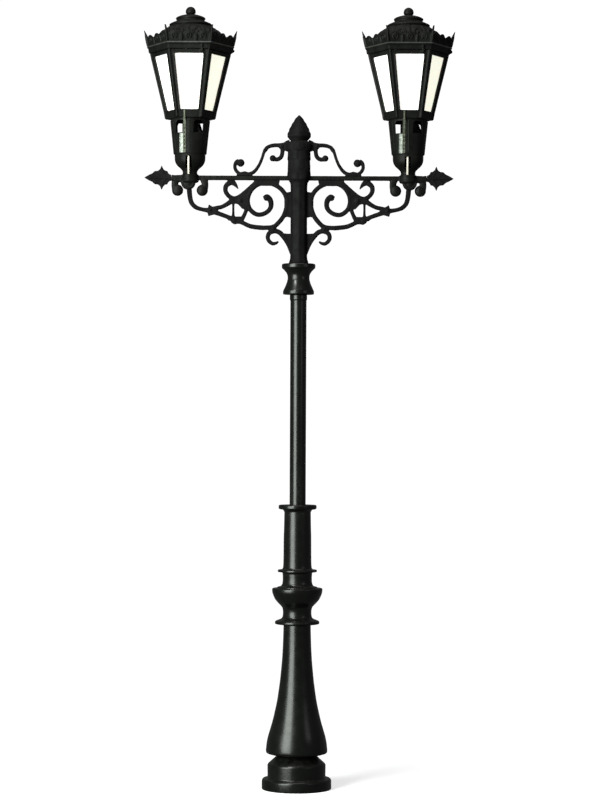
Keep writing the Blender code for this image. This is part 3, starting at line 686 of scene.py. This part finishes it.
def arm_bar_mesh():
    bm = bmesh.new()
    bar = mm([(70, 0, 32), (300, 0, 31.6), (500, 0, 31.6), (700, 0, 32)])
    scroll(bm, on_arm(bar), 0.027, square=4.0)
    seat = flow(mm([
        (0, -33), (50, -33, 4), (58, -27, 4), (60, -18, 3), (56, -8), (56, 4), (60, 12, 3), (58, 20, 3),
        (53, 22, 2), (0, 22)]))
    add_lathe(bm, seat, (LANTERN_X, 0, ARM_Z), 64)
    tongue = mm([(730, -6, 52), (800, -6, 50), (835, -3, 42), (855.5, 0, 40)])
    scroll(bm, on_arm(tongue), 0.04, square=3.4)
    boss = flow(mm([(0, 0), (47, 0), (49, 28, 6), (40, 33, 4), (34, 31), (22, 32), (16, 36), (0, 38)]))
    for towards in ("-Y", "+Y"):
        add_lathe(bm, boss, (0.742, 0, ARM_Z - 0.03), 48, towards)
    for out in (-1, 1):
        stem = mm([
            (84, 4, 50), (95, -16, 50), (101, -40, 46), (103, -64, 40), (99, -84, 34), (90, -98, 30)])
        scroll(bm, on_arm([(LANTERN_X + out * u, v, w) for u, v, w in stem]), 0.029)
        end_ball(bm, LANTERN_X + out * 0.0825, -0.084, 0.0385, 0.6)
    return cast(bm, voxel=0.0026)


SWELL = 1.26  # the panel's strokes are drawn slim, then filled out by this
CREST_SWELL = 1.2


def scroll_panel_mesh():
    bm = bmesh.new()
    ring = mm([
        (245, -334), (176, -328), (139, -302), (104, -257), (84, -203), (80, -166), (87, -124), (110, -83),
        (151, -51), (199, -34), (246, -34), (291, -53), (325, -90), (342, -138), (338, -186), (318, -220),
        (284, -243), (250, -244), (215, -229), (191, -202), (186, -171), (194, -144), (214, -126),
        (236, -136)])
    widths = [0.025] * 19 + [0.026, 0.028, 0.03, 0.03, 0.022]
    ring = [(*place, width) for place, width in zip(ring, widths)]
    heart = mm([(292, -36, 26), (318, -60, 26), (356, -95, 27), (397, -128, 29), (437, -138, 26),
                (474, -117, 24), (492, -83, 25), (487, -53, 27), (464, -32, 30)])
    bracket = mm([
        (55, -508, 7), (63, -474, 14), (74.5, -440, 20), (94, -404, 25), (126, -366, 27), (160, -355, 26),
        (194, -366, 25), (207, -392, 24), (200, -420, 22), (175, -439, 20), (151, -435, 16),
        (136, -424, 9)])
    chord = mm([
        (236, -334, 26), (320, -324, 25), (381, -298, 24), (439, -276, 24), (504, -251, 24),
        (565, -230, 26), (605, -219, 26), (650, -211, 22), (687, -199, 24), (713, -176, 25),
        (725, -149, 26), (731, -115, 27), (734, -83, 28), (738, -55, 28)])
    upper = mm([(440, -146, 30), (475, -172, 25), (516, -194, 23), (559, -203, 23), (600, -215, 24)])
    strut = mm([(338, -176, 30), (352, -215, 22), (366, -250, 22), (388, -290, 27)])
    web = mm([(439, -142, 24), (439, -175, 14), (439, -240, 14), (439, -272, 26)])
    leaf = mm([(462, -26, 30), (442, -32, 30), (424, -48, 20), (406, -74, 4)])
    strokes(bm, SWELL, (ring, 0.027), (heart, 0.024), (bracket, 0.025), (chord, 0.024), (upper, 0.023),
            (strut, 0.022), (web, 0.021), (leaf, 0.021))
    brow = mm([(430, -18, 8), (455, -20, 12), (480, -18.5, 8)])
    scroll(bm, on_arm(brow), 0.022)
    mass = mm([(338, -150), (340, -112), (362, -106), (410, -126), (446, -136), (462, -150), (444, -168),
               (408, -176), (380, -206), (352, -212), (338, -190)])
    slab(bm, on_arm(mass), 0.0125)
    rosette(bm, 0.392, -0.152, 0.017, 0.0135)
    knot = mm([(620, -216), (610, -202), (602, -178.5), (582, -190), (548, -214), (530, -227), (556, -243),
               (584, -250), (606, -257), (612, -232)])
    slab(bm, on_arm(knot), 0.014)
    rosette(bm, 0.594, -0.216, 0.012, 0.0165)
    for u, v, radius in mm([(433, -284, 24), (406, -292, 17), (462, -270, 18)]):
        end_ball(bm, u, v, radius, 0.7)
    bar_land = mm([(136, -52), (292, -52), (304, -15), (128, -15)])
    post_land = mm([(46, -268), (98, -254), (84, -180), (100, -100), (46, -88)])
    crotch = mm([(386, -302), (390, -258), (458, -258), (462, -284), (432, -312)])
    slab(bm, on_arm(crotch), 0.0115)
    foot_land = mm([(46, -514), (56, -514), (63, -486), (70.5, -462), (79, -440), (124, -370), (46, -372)])
    ring_land = mm([(150, -364), (194, -364), (192, -318), (150, -318)])
    for outline, half in ((bar_land, 0.013), (post_land, 0.0112), (foot_land, 0.0108), (ring_land, 0.013)):
        slab(bm, on_arm(outline), half)
    for u, v, radius in mm([
            (154, -44, 14), (86, -106, 13), (86, -249, 13), (171, -341, 18), (218, -133, 20)]):
        end_ball(bm, u, v, radius, 1.05)
    return cast(bm, voxel=0.0028)


def crest_mesh():
    bm = bmesh.new()
    s_curve = mm([
        (64, 216, 72), (86, 216, 60), (102, 217, 44), (114, 219, 32), (136, 220, 24), (173, 219, 23),
        (207, 209, 21), (223, 192, 23), (235, 173, 18), (249, 129, 17), (270, 82, 18), (305, 39, 21),
        (352, 24, 18)])
    curl = mm([(112, 216, 26), (112, 172, 24), (120, 143, 24), (140, 127, 24), (168, 126, 24)])
    hook = mm([
        (372, 24, 18), (404, 33, 20), (425, 56, 20), (429.5, 82, 20), (422, 106, 20), (405, 118, 21)])
    strokes(bm, CREST_SWELL, (s_curve, 0.025), (curl, 0.023), (hook, 0.022))
    collar = mm([(308, 15), (420, 15), (412, 30), (388, 39), (364, 45), (342, 39), (318, 30)])
    slab(bm, on_arm(collar), 0.015)
    for u, v, radius, flat in ((0.176, 0.133, 0.0215, 0.9), (0.391, 0.101, 0.0265, 0.8),
                               (0.228, 0.186, 0.014, 1.0), (0.118, 0.214, 0.021, 0.9)):
        end_ball(bm, u, v, radius, flat)
    return cast(bm, voxel=0.0026)


def finial_mesh():
    """Leaf-shaped arrow head: a spiked outline, a midrib, veins and a collar where it meets the bar."""
    bm = bmesh.new()
    start = node_box("right_end_finial")[0].x
    upper = mm([(874, 30), (882, 45), (896, 47), (908, 58), (920, 83), (930, 58), (944, 46), (966, 44),
                (984, 28), (1006, 18)])
    outline = [(start, 0.018), (0.866, 0.022), *upper, (ARM_TIP, 0.0)]
    outline += [(u, -v) for u, v in reversed(outline[:-1])]
    slab(bm, on_arm(outline), 0.0085)
    rib = [(start + 0.001, 0.0, 0.02), (0.9, 0.0, 0.024), (0.96, 0.0, 0.018), (1.026, 0.0, 0.005)]
    scroll(bm, on_arm(rib), 0.028)
    for side in (-1, 1):
        near = [(0.89, side * 0.006, 0.012), (0.91, side * 0.036, 0.009), (0.919, side * 0.07, 0.004)]
        far = [(0.925, side * 0.004, 0.01), (0.952, side * 0.024, 0.008), (0.966, side * 0.038, 0.004)]
        strokes(bm, 1.0, (near, 0.023), (far, 0.022))
    band = [(start + 0.0005, 0.0, 0.04), (start + 0.008, 0.0, 0.046), (start + 0.014, 0.0, 0.036)]
    scroll(bm, on_arm(band), 0.03, square=3.6)
    return cast(bm, voxel=0.0022, smooth=2, rough=0.0004)


def build_arms():
    for part, mesh in (("arm_bar", arm_bar_mesh()), ("scroll_panel", scroll_panel_mesh()),
                       ("crest_scroll", crest_mesh()), ("end_finial", finial_mesh())):
        left = mirrored(mesh)
        for side, shape in (("right", mesh), ("left", left)):
            install(f"cast_{side}_{part}", shape, f"{side}_{part}", POST, 70, OWN_PAINT.get(part))


# ---- lanterns
GLASS_BOTTOM = 4.519
GLASS_TOP = 4.891
FRAME_TOP = 4.9137
GLASS_BOTTOM_R = 0.172  # corner radii of the hexagonal cage at the glass
GLASS_TOP_R = 0.263
LEAN = (GLASS_TOP_R - GLASS_BOTTOM_R) / (GLASS_TOP - GLASS_BOTTOM)
FLAT = cos(pi / 6)  # a hexagon's flat over its corner radius
CORNERS = range(0, 360, 60)


def lean_on(bm, corner_radius):
    """Move a flat drawing in the XZ plane onto the front face of a hexagon whose radius varies with z."""
    for vert in bm.verts:
        vert.co.y -= corner_radius(vert.co.z) * FLAT


def glass_corner(z):
    return GLASS_BOTTOM_R + (z - GLASS_BOTTOM) * LEAN


def fascia_corner(z):
    """The cresting leans out from a corner radius of 286 mm at its foot to 300 mm, 58 mm higher."""
    return 0.286 + (z - 4.962) * (0.3 - 0.286) / 0.058


def stand_around(bm, turns, points, depth, **section):
    """Add copies of one upright stroke, turned about the lantern's axis."""
    for turn in turns:
        stroke = bmesh.new()
        scroll(stroke, points, depth, **section)
        merge(bm, spun(stroke, turn))


def socket_mesh():
    """Open cast neck: six windows in opposite pairs, a slot for the cable, ribs and side straps."""
    outer = flow([
        (0.0, NECK_BOTTOM), (0.049, NECK_BOTTOM, 0.002), (0.0495, 4.11), (0.048, 4.118), (0.051, 4.128),
        (0.06, 4.14), (0.073, 4.151), (0.087, 4.164), (0.097, 4.18), (0.103, 4.2), (0.103, 4.234, 0.003),
        (0.107, 4.239, 0.003), (0.119, 4.355), (0.1305, NECK_TOP - GAP)])
    inner = [
        (0.122, NECK_TOP - GAP), (0.098, 4.242), (0.093, 4.19), (0.08, 4.165), (0.055, 4.148), (0.0, 4.148)]
    shell = lathe(outer, under=inner, sides=96)
    cutters = []
    span = 0.0365
    outline = [(-span, 4.375), (span, 4.375), (span, 4.434), (span * 0.85, 4.449), (span * 0.55, 4.4575),
               (-span * 0.55, 4.4575), (-span * 0.85, 4.449), (-span, 4.434)]
    for turn in (30, 90, 150):
        window = bmesh.new()
        slab(window, outline, 0.16)
        cutters.append(spun(window, turn))
    cutters.append(new_block((-0.026, -0.13, 4.13), (0.014, -0.0515, 4.22)))  # slot for the cable
    bm = bmesh.new()
    bm.from_mesh(carved([shell], cutters, 0.0012))
    rib = mm([(105.5, 4250, 6), (113, 4320, 8), (127.5, 4462, 8)])
    stand_around(bm, range(30, 390, 60), rib, 0.012, square=2.2)
    strap = mm([(106, 4240, 9), (116, 4340, 9), (128.5, 4461, 9)])
    stand_around(bm, (0, 180), strap, 0.034, square=4.0)
    horn = bmesh.new()  # the curved dark piece seen through the right window
    slab(horn, mm([
        (12, 4352), (98, 4352), (81, 4374), (69, 4393), (60, 4411), (58, 4426), (68, 4441), (52, 4444),
        (34, 4439), (20, 4424), (12, 4400)]), 0.0015, -0.06)
    merge(bm, horn)
    return as_mesh(bm)


STRIP_FOOT = 4.24
NECK_LEAN = 0.103  # how far the neck leans out for each metre up


def lean_out(piece, front):
    """Slope an upright piece along the neck; it stands at y = front at the strip's foot."""
    for vert in piece.verts:
        vert.co.y += front - (vert.co.z - STRIP_FOOT) * NECK_LEAN
    return piece


def channel_mesh():
    """Galvanised strip with turned edges and three rivets."""
    bm = bmesh.new()
    foot, top = 4.241, 4.369
    face = -0.104
    for left, right, thick, front in ((-0.064, -0.043, 0.003, face), (-0.0645, -0.0617, 0.0062, -0.1072),
                                      (-0.045, -0.0422, 0.0062, -0.1072)):
        merge(bm, lean_out(new_block((left, 0.0, foot), (right, thick, top)), front))
    rivet = flow(mm([(0, -2), (4.5, -2), (4, 1), (0, 2.4)]))
    for z in (4.268, 4.3, 4.342):
        add_lathe(bm, rivet, (-0.053, face - (z - STRIP_FOOT) * NECK_LEAN, z), 16, "-Y")
    return as_mesh(bm)


def rail_mesh():
    """Narrow dull rail beside the strip, with slots in its face, up to the foot of the glass."""
    lower = lean_out(new_block((-0.0395, 0.0, 4.241), (-0.025, 0.007, 4.472)), -0.1112)
    upper = new_block((-0.0365, -0.1545, 4.464), (-0.027, -0.144, 4.519))
    slots = [new_block((-0.0352, -0.15, z), (-0.03, -0.1, z + 0.014))
             for z in (4.262, 4.288, 4.314, 4.34, 4.366, 4.392)]
    return carved([lower, upper], slots, 0.0006)


def cable_mesh():
    """Cable along the route its node follows, out of the slot and down to the arm."""
    route = [
        (-0.006, -0.052, 4.296), (-0.006, -0.07, 4.262), (-0.006, -0.084, 4.225), (-0.006, -0.089, 4.19),
        (-0.006, -0.084, 4.16), (-0.006, -0.071, 4.133), (-0.006, -0.059, NECK_BOTTOM)]
    path = [Vector(p) for p in smooth_path(route, 6)]
    bm = bmesh.new()
    radius, sides = 0.007, 20
    side = Vector((1, 0, 0))
    rings = []
    for i, point in enumerate(path):
        run = (path[min(i + 1, len(path) - 1)] - path[max(i - 1, 0)]).normalized()
        across = run.cross(side).normalized()
        angles = [2 * pi * k / sides for k in range(sides)]
        rings.append([bm.verts.new(point + (side * cos(a) + across * sin(a)) * radius) for a in angles])
    fill(bm, rings, closed=False)
    bm.faces.new(rings[0][::-1])
    bm.faces.new(rings[-1])
    bmesh.ops.recalc_face_normals(bm, faces=bm.faces)
    return as_mesh(bm)


BARREL_R = 0.0088  # of the canopy's hinge


def hinge_line():
    """Place whose local Z axis runs along the canopy's hinge."""
    hinge = joint_point("right_canopy_hinge")
    return Matrix.Translation((0, hinge.y, hinge.z)) @ Matrix.Rotation(pi / 2, 4, "Y")


def cage_mesh():
    """Hexagonal cage: rings, tapered corner bars with round ribs, glazing beads, hinge lug and keeper."""
    loop = [
        (0.166, NECK_TOP), (GLASS_BOTTOM_R, GLASS_BOTTOM), (GLASS_TOP_R, GLASS_TOP), (0.2675, FRAME_TOP)]
    inner = [(0.25, FRAME_TOP), (0.245, GLASS_TOP), (0.154, GLASS_BOTTOM), (0.152, 4.486), (0.118, 4.486),
             (0.118, NECK_TOP)]
    shell = lathe(loop, under=inner, sides=6)
    cutters = []
    for turn in (0, 60, 120):
        window = bmesh.new()
        slab(window, mm([(-62.5, 4523), (62.5, 4523), (97.5, 4887), (-97.5, 4887)]), 0.3)
        cutters.append(spun(window, turn))
    body = bmesh.new()
    body.from_mesh(carved([shell], cutters))
    rib = mm([(166.5, 4475, 18), (169, 4519, 18), (258, 4889, 18), (261, 4910, 16)])
    stand_around(body, CORNERS, rib, 0.02, steps=3, square=2.4)
    for turn in CORNERS:
        beads = bmesh.new()
        for side in (-1, 1):
            bead = [(side * 0.0625, 4.521, 0.01), (side * 0.0985, 4.889, 0.009)]
            scroll(beads, bead, 0.008, steps=4, sides=10)
        for z, half in ((4.5225, 0.063), (4.8885, 0.098)):
            scroll(beads, [(-half, z, 0.006), (half, z, 0.006)], 0.007, steps=2, sides=10)
        ring_band = [(-0.082, 4.4985, 0.01), (0.082, 4.4985, 0.01)]
        scroll(beads, ring_band, 0.006, steps=2, sides=10)
        lean_on(beads, lambda z: glass_corner(z) - 0.0012)
        merge(body, spun(beads, turn))
    hinge = joint_point("right_canopy_hinge")
    block(body, (-0.0295, 0.226, hinge.z - BARREL_R), (0.0295, hinge.y, hinge.z - 0.0018))
    rod(body, BARREL_R, -0.0298, 0.0298, hinge_line())
    block(body, (0.0755, -0.2452, 4.8965), (0.0945, -0.224, 4.9095))  # keeper of the latch
    return cast(body, voxel=0.0032, smooth=2, rough=0.0004)


def gear_tray_mesh():
    """Tray over the neck, with the control-gear can that hangs below it."""
    floor = 4.4863
    outer = flow([
        (0.0, 4.301), (0.034, 4.301, 0.003), (0.048, 4.303, 0.004), (0.0545, 4.31, 0.003),
        (0.0545, 4.318, 0.002), (0.0525, 4.321, 0.002), (0.0525, 4.47, 0.002), (0.0548, 4.474, 0.002),
        (0.0548, floor, 0.001), (0.1115, floor, 0.001), (0.1115, floor + 0.0078, 0.002),
        (0.0, floor + 0.0078)])
    return as_mesh(lathe(outer, sides=72))


def lamp_mesh():
    base = 4.4946
    outer = flow([
        (0.0, base), (0.0255, base, 0.001), (0.0255, base + 0.028, 0.002), (0.019, base + 0.034),
        (0.02, base + 0.048), (0.03, base + 0.08), (0.043, base + 0.112), (0.0478, base + 0.145),
        (0.043, base + 0.172), (0.026, base + 0.192), (0.0, base + 0.1975)])
    return as_mesh(lathe(outer, sides=48))


def gallery_mesh():
    """Canopy fascia: plain band, leafy cresting with three lobes a face, six leaning spikes, hinge arms."""
    outer = flow(mm([
        (278, 4914.2), (281, 4917, 2), (283.5, 4941, 3), (290.5, 4948, 2), (291.2, 4955, 2), (289, 4960, 2),
        (285.5, 4963, 2), (286.5, 4980)]))
    inner = mm([(276, 4980), (274, 4926.2), (228, 4926.2), (228, 4914.2)])
    bm = lathe(outer, under=inner, sides=6)
    half = 0.146
    shares = [i / 60 for i in range(61)]
    top = [(half * (2 * share - 1), 5.003 + 0.03 * abs(sin(3 * pi * share)) ** 0.9) for share in shares]
    for turn in CORNERS:
        plate = bmesh.new()
        slab(plate, [(half, 4.958), *reversed(top), (-half, 4.958)], 0.004, 0.006)
        for s in (-0.096, 0.0, 0.096):
            ring = [(s + 0.0155 * cos(a), 4.999 + 0.0155 * sin(a), 0.006)
                    for a in (radians(t) for t in range(-60, 250, 30))]
            scroll(plate, ring, 0.01, steps=3, sides=10)
            knob(plate, (s, 0.0, 4.999), 0.0062)
        for s in (-0.048, 0.048):
            leaf = [(s, 4.968, 0.014), (s, 4.985, 0.018), (s, 5.003, 0.01), (s, 5.013, 0.003)]
            scroll(plate, leaf, 0.01, steps=4, sides=10)
        for k in range(1, 24):
            knob(plate, (-half + 0.012 * k, 0.0055, 4.93), 0.004)
        lean_on(plate, fascia_corner)
        merge(bm, spun(plate, turn))
    spike = mm([(284, 4966, 22), (288, 4992, 26), (294.5, 5018, 24), (301.5, 5042, 15), (312, 5069.5, 3)])
    stand_around(bm, CORNERS, spike, 0.015, square=2.2)
    knob(bm, (0.283, 0, 4.932), 0.012)
    hinge = joint_point("right_canopy_hinge")
    for side in (-1, 1):
        near, far = sorted((side * 0.0308, side * 0.0598))
        block(bm, (near, 0.24, hinge.z + 0.0018), (far, hinge.y, hinge.z + BARREL_R))
        rod(bm, BARREL_R, near, far, hinge_line())
    return cast(bm, voxel=0.0031, smooth=2, rough=0.0004)


def ledge_mesh():
    """Bead round the top of the canopy's plain band, made bright by a painted highlight in its lighter paint."""
    bead = flow(mm([
        (286, 4952.5), (291.5, 4952.8, 1), (293.7, 4956, 2), (292.5, 4960.5, 2), (286, 4962.5)]))
    return as_mesh(lathe(bead, sides=6))


DOME_PANELS = 12
RELIEF_FOOT = 4.985  # the dome's relief runs between these heights
RELIEF_TOP = 5.0995


def dome_relief(angle, radius, z):
    """Panels between narrow ribs, each with a raised ring scroll, a bead and a leaf."""
    if z < RELIEF_FOOT:
        return radius
    share = (z - RELIEF_FOOT) / (RELIEF_TOP - RELIEF_FOOT)
    panel = (angle * DOME_PANELS / (2 * pi)) % 1.0 - 0.5
    reach = radius * 2 * pi / DOME_PANELS
    across = panel * reach
    up = (share - 0.42) * 0.105
    from_ring = abs(hypot(across, up) - 0.026)
    ring = exp(-(from_ring / 0.006) ** 2)
    bead = exp(-(hypot(across, up) / 0.009) ** 2)
    rib = exp(-((0.5 - abs(panel)) * reach / 0.005) ** 2)
    rise = max(0.0, sin(pi * min(1.0, share * 2.4)))
    leaf = rise * exp(-((across / (0.004 + 0.016 * (1 - share))) ** 2))
    fade = min(1.0, share * 8) * min(1.0, (1 - share) * 8)
    return radius - 0.005 + fade * (0.01 * max(ring, rib * 0.7, bead) + 0.001 * leaf)


def dome_mesh():
    outer = flow(mm([
        (226, 4926.3), (231.5, 4929, 2), (231.5, 4984), (229, 5002), (220, 5024), (206, 5046), (186, 5066),
        (164, 5083), (144, 5095), (134, 5099.7)]))
    inner = mm([(132, 5099.7), (155, 5075), (184, 5052), (206, 5028), (221, 4990), (222, 4926.3)])
    dome = lathe(dense(outer, 0.0032), under=inner, relief=dome_relief, sides=288)
    return roughen(as_mesh(dome), 0.0004)


def cowl_mesh():
    outer = flow(mm([
        (130, 5100), (140, 5100.3, 1), (142.8, 5103, 2), (142.8, 5108, 2), (139, 5112, 3), (124, 5119),
        (108, 5126), (96, 5131), (93.5, 5136), (96, 5142, 2), (99.4, 5145, 2), (99.4, 5150, 2),
        (96, 5154.5), (82, 5162), (60, 5169), (40, 5174.2), (30, 5175), (0, 5175)]), 5)
    inner = mm([(0, 5165), (80, 5140), (110, 5112), (126, 5100)])
    return as_mesh(lathe(outer, under=inner))


def ball_mesh():
    radius = 0.034
    foot = top_of("right_vent_cowl") + GAP
    centre = top_of("right_ball_finial") - radius
    neck = [(0.0, foot), (0.0235, foot, 0.001), (0.0245, foot + 0.002, 0.001), (0.0205, foot + 0.0045)]
    low = -radians(24)
    angles = [low + (pi / 2 - low) * k / 16 for k in range(17)]
    arc = [(radius * cos(a), centre + radius * sin(a)) for a in angles]
    arc[-1] = (0.0, centre + radius)
    return as_mesh(lathe(flow([*neck, *arc], 2), sides=48))


def latch_mesh():
    """Turn button: a disc, a tab over the keeper and a grip across it."""
    at = joint_point("right_latch_turn") - Vector((LANTERN_X, 0, 0))
    rim = flow(mm([(0, -3.8), (10.4, -3.8, 0.8), (10.8, 2, 1), (9.4, 3.8, 0.8), (0, 3.6)]))
    disc = lathe(rim, sides=40)
    disc.transform(Matrix.Translation(at) @ Z_TO_MINUS_Y)
    tab = bmesh.new()
    slab(tab, [(at.x - 0.0052, 4.902), (at.x - 0.0028, 4.8985), (at.x + 0.0028, 4.8985),
               (at.x + 0.0052, 4.902), (at.x + 0.0058, at.z), (at.x - 0.0058, at.z)], 0.0018, at.y + 0.002)
    grip = new_block((at.x - 0.0029, at.y - 0.0106, at.z - 0.0088), (at.x + 0.0029, at.y, at.z + 0.0088))
    return carved([disc, tab, grip], bevel=0.0008)


def hinge_pin_mesh():
    return carved([new_rod(0.0039, -0.0605, 0.0605, hinge_line())], bevel=0.0009)


INSIDE = {"rail": "gear_channel", "ledge": "gallery"}  # extra pieces and the node each belongs to


def build_lanterns():
    fixed = [("socket", socket_mesh(), 36), ("gear_channel", channel_mesh(), 30), ("rail", rail_mesh(), 30),
             ("lantern_cable", cable_mesh(), 40), ("lantern_frame", cage_mesh(), 60),
             ("lamp_plate", gear_tray_mesh(), 36), ("lamp", lamp_mesh(), 36),
             ("canopy_hinge_pin", hinge_pin_mesh(), 36)]
    opening = [("gallery", gallery_mesh(), 60), ("ledge", ledge_mesh(), 40), ("dome", dome_mesh(), 60),
               ("vent_cowl", cowl_mesh(), 36), ("ball_finial", ball_mesh(), 36)]
    turning = [("latch", latch_mesh(), 36)]
    for name, side in (("left", -1), ("right", 1)):
        for body, shapes in ((POST, fixed), (f"{name}_canopy", opening), (f"{name}_latch", turning)):
            for part, mesh, angle in shapes:
                copy = mesh.copy()
                copy.transform(Matrix.Translation((side * LANTERN_X, 0, 0)))
                node = f"{name}_{INSIDE.get(part, part)}"
                install(f"{name}_{part}_fine", copy, node, body, angle, OWN_PAINT.get(part))
        for number in range(1, 7):
            pane = frame["nodes"][f"{name}_pane_{number}"]
            for slot in pane.material_slots:
                slot.material = MATERIALS["opal_glass"]


# ---- floor, light and camera
def build_floor():
    """Pale round floor that fades out into the white background."""
    made, tree, shader = new_material("pale_floor")
    preset(shader, Base_Color=(0.86, 0.86, 0.86, 1.0), Roughness=0.7, Specular_IOR_Level=0.2,
           Emission_Color=(1.0, 1.0, 1.0, 1.0), Emission_Strength=0.62)
    coords = tree.nodes.new("ShaderNodeTexCoord")
    length = tree.nodes.new("ShaderNodeVectorMath")
    length.operation = "LENGTH"
    tree.links.new(coords.outputs["Object"], length.inputs[0])
    fade = spread(tree, length.outputs["Value"], 0.5, 2.5)
    clear = tree.nodes.new("ShaderNodeBsdfTransparent")
    mix = tree.nodes.new("ShaderNodeMixShader")
    tree.links.new(fade, mix.inputs["Fac"])
    tree.links.new(shader.outputs["BSDF"], mix.inputs[1])
    tree.links.new(clear.outputs["BSDF"], mix.inputs[2])
    tree.links.new(mix.outputs["Shader"], tree.nodes["Material Output"].inputs["Surface"])
    bm = bmesh.new()
    bmesh.ops.create_circle(bm, cap_ends=True, segments=96, radius=2.7)
    mesh = as_mesh(bm)
    mesh.materials.append(made)
    floor = new_object("floor", mesh)
    floor.location.z = -0.0005
    floor.visible_diffuse = False
    floor.visible_glossy = False


def aim(thing, target):
    thing.rotation_euler = (Vector(target) - thing.location).to_track_quat("-Z", "Y").to_euler()


def area_light(name, position, target, width, height, power, colour=(1, 1, 1)):
    data = bpy.data.lights.new(name, "AREA")
    data.shape = "RECTANGLE"
    data.size = width
    data.size_y = height
    data.energy = power
    data.color = colour
    light = new_object(name, data)
    light.location = position
    light.visible_camera = False
    aim(light, target)


def build_light():
    world = bpy.data.worlds.new("studio")
    bpy.context.scene.world = world
    world.use_nodes = True
    tree = world.node_tree
    backdrop = tree.nodes["Background"]
    preset(backdrop, Color=(1, 1, 1, 1), Strength=1.05)
    ambient = tree.nodes.new("ShaderNodeBackground")
    preset(ambient, Color=(0.93, 1.0, 0.95, 1), Strength=0.1)
    path = tree.nodes.new("ShaderNodeLightPath")
    mix = tree.nodes.new("ShaderNodeMixShader")
    tree.links.new(path.outputs["Is Camera Ray"], mix.inputs["Fac"])
    tree.links.new(ambient.outputs["Background"], mix.inputs[1])
    tree.links.new(backdrop.outputs["Background"], mix.inputs[2])
    tree.links.new(mix.outputs["Shader"], tree.nodes["World Output"].inputs["Surface"])
    area_light("key_strip", (-5.3, -6.1, 3.0), (0, 0, 2.4), 5.0, 6.2, 1000, (0.93, 1.0, 0.94))
    area_light("key_high", (-3.2, -4.6, 7.6), (0, 0, 2.6), 1.3, 1.3, 260, (0.98, 1.0, 0.97))
    area_light("fill", (6.5, -5.5, 4.5), (0, 0, 2.8), 3.0, 3.0, 26)
    area_light("top", (0.0, -1.0, 9.5), (0, 0, 3.0), 5.0, 5.0, 120)


def build_camera():
    data = bpy.data.cameras.new("camera")
    data.lens = 113.0
    data.sensor_width = 36.0
    data.sensor_fit = "AUTO"
    data.clip_end = 100.0
    camera = new_object("camera", data)
    camera.location = (0.013, -16.8, 2.443)
    aim(camera, (0.013, 0.0, 2.597))
    camera.rotation_euler.rotate_axis("Z", radians(0.24))
    bpy.context.scene.camera = camera


build_camera()
build_light()
build_floor()
build_column()
build_door()
build_inner_fittings()
build_arms()
build_lanterns()
bpy.context.scene.view_settings.view_transform = "Standard"
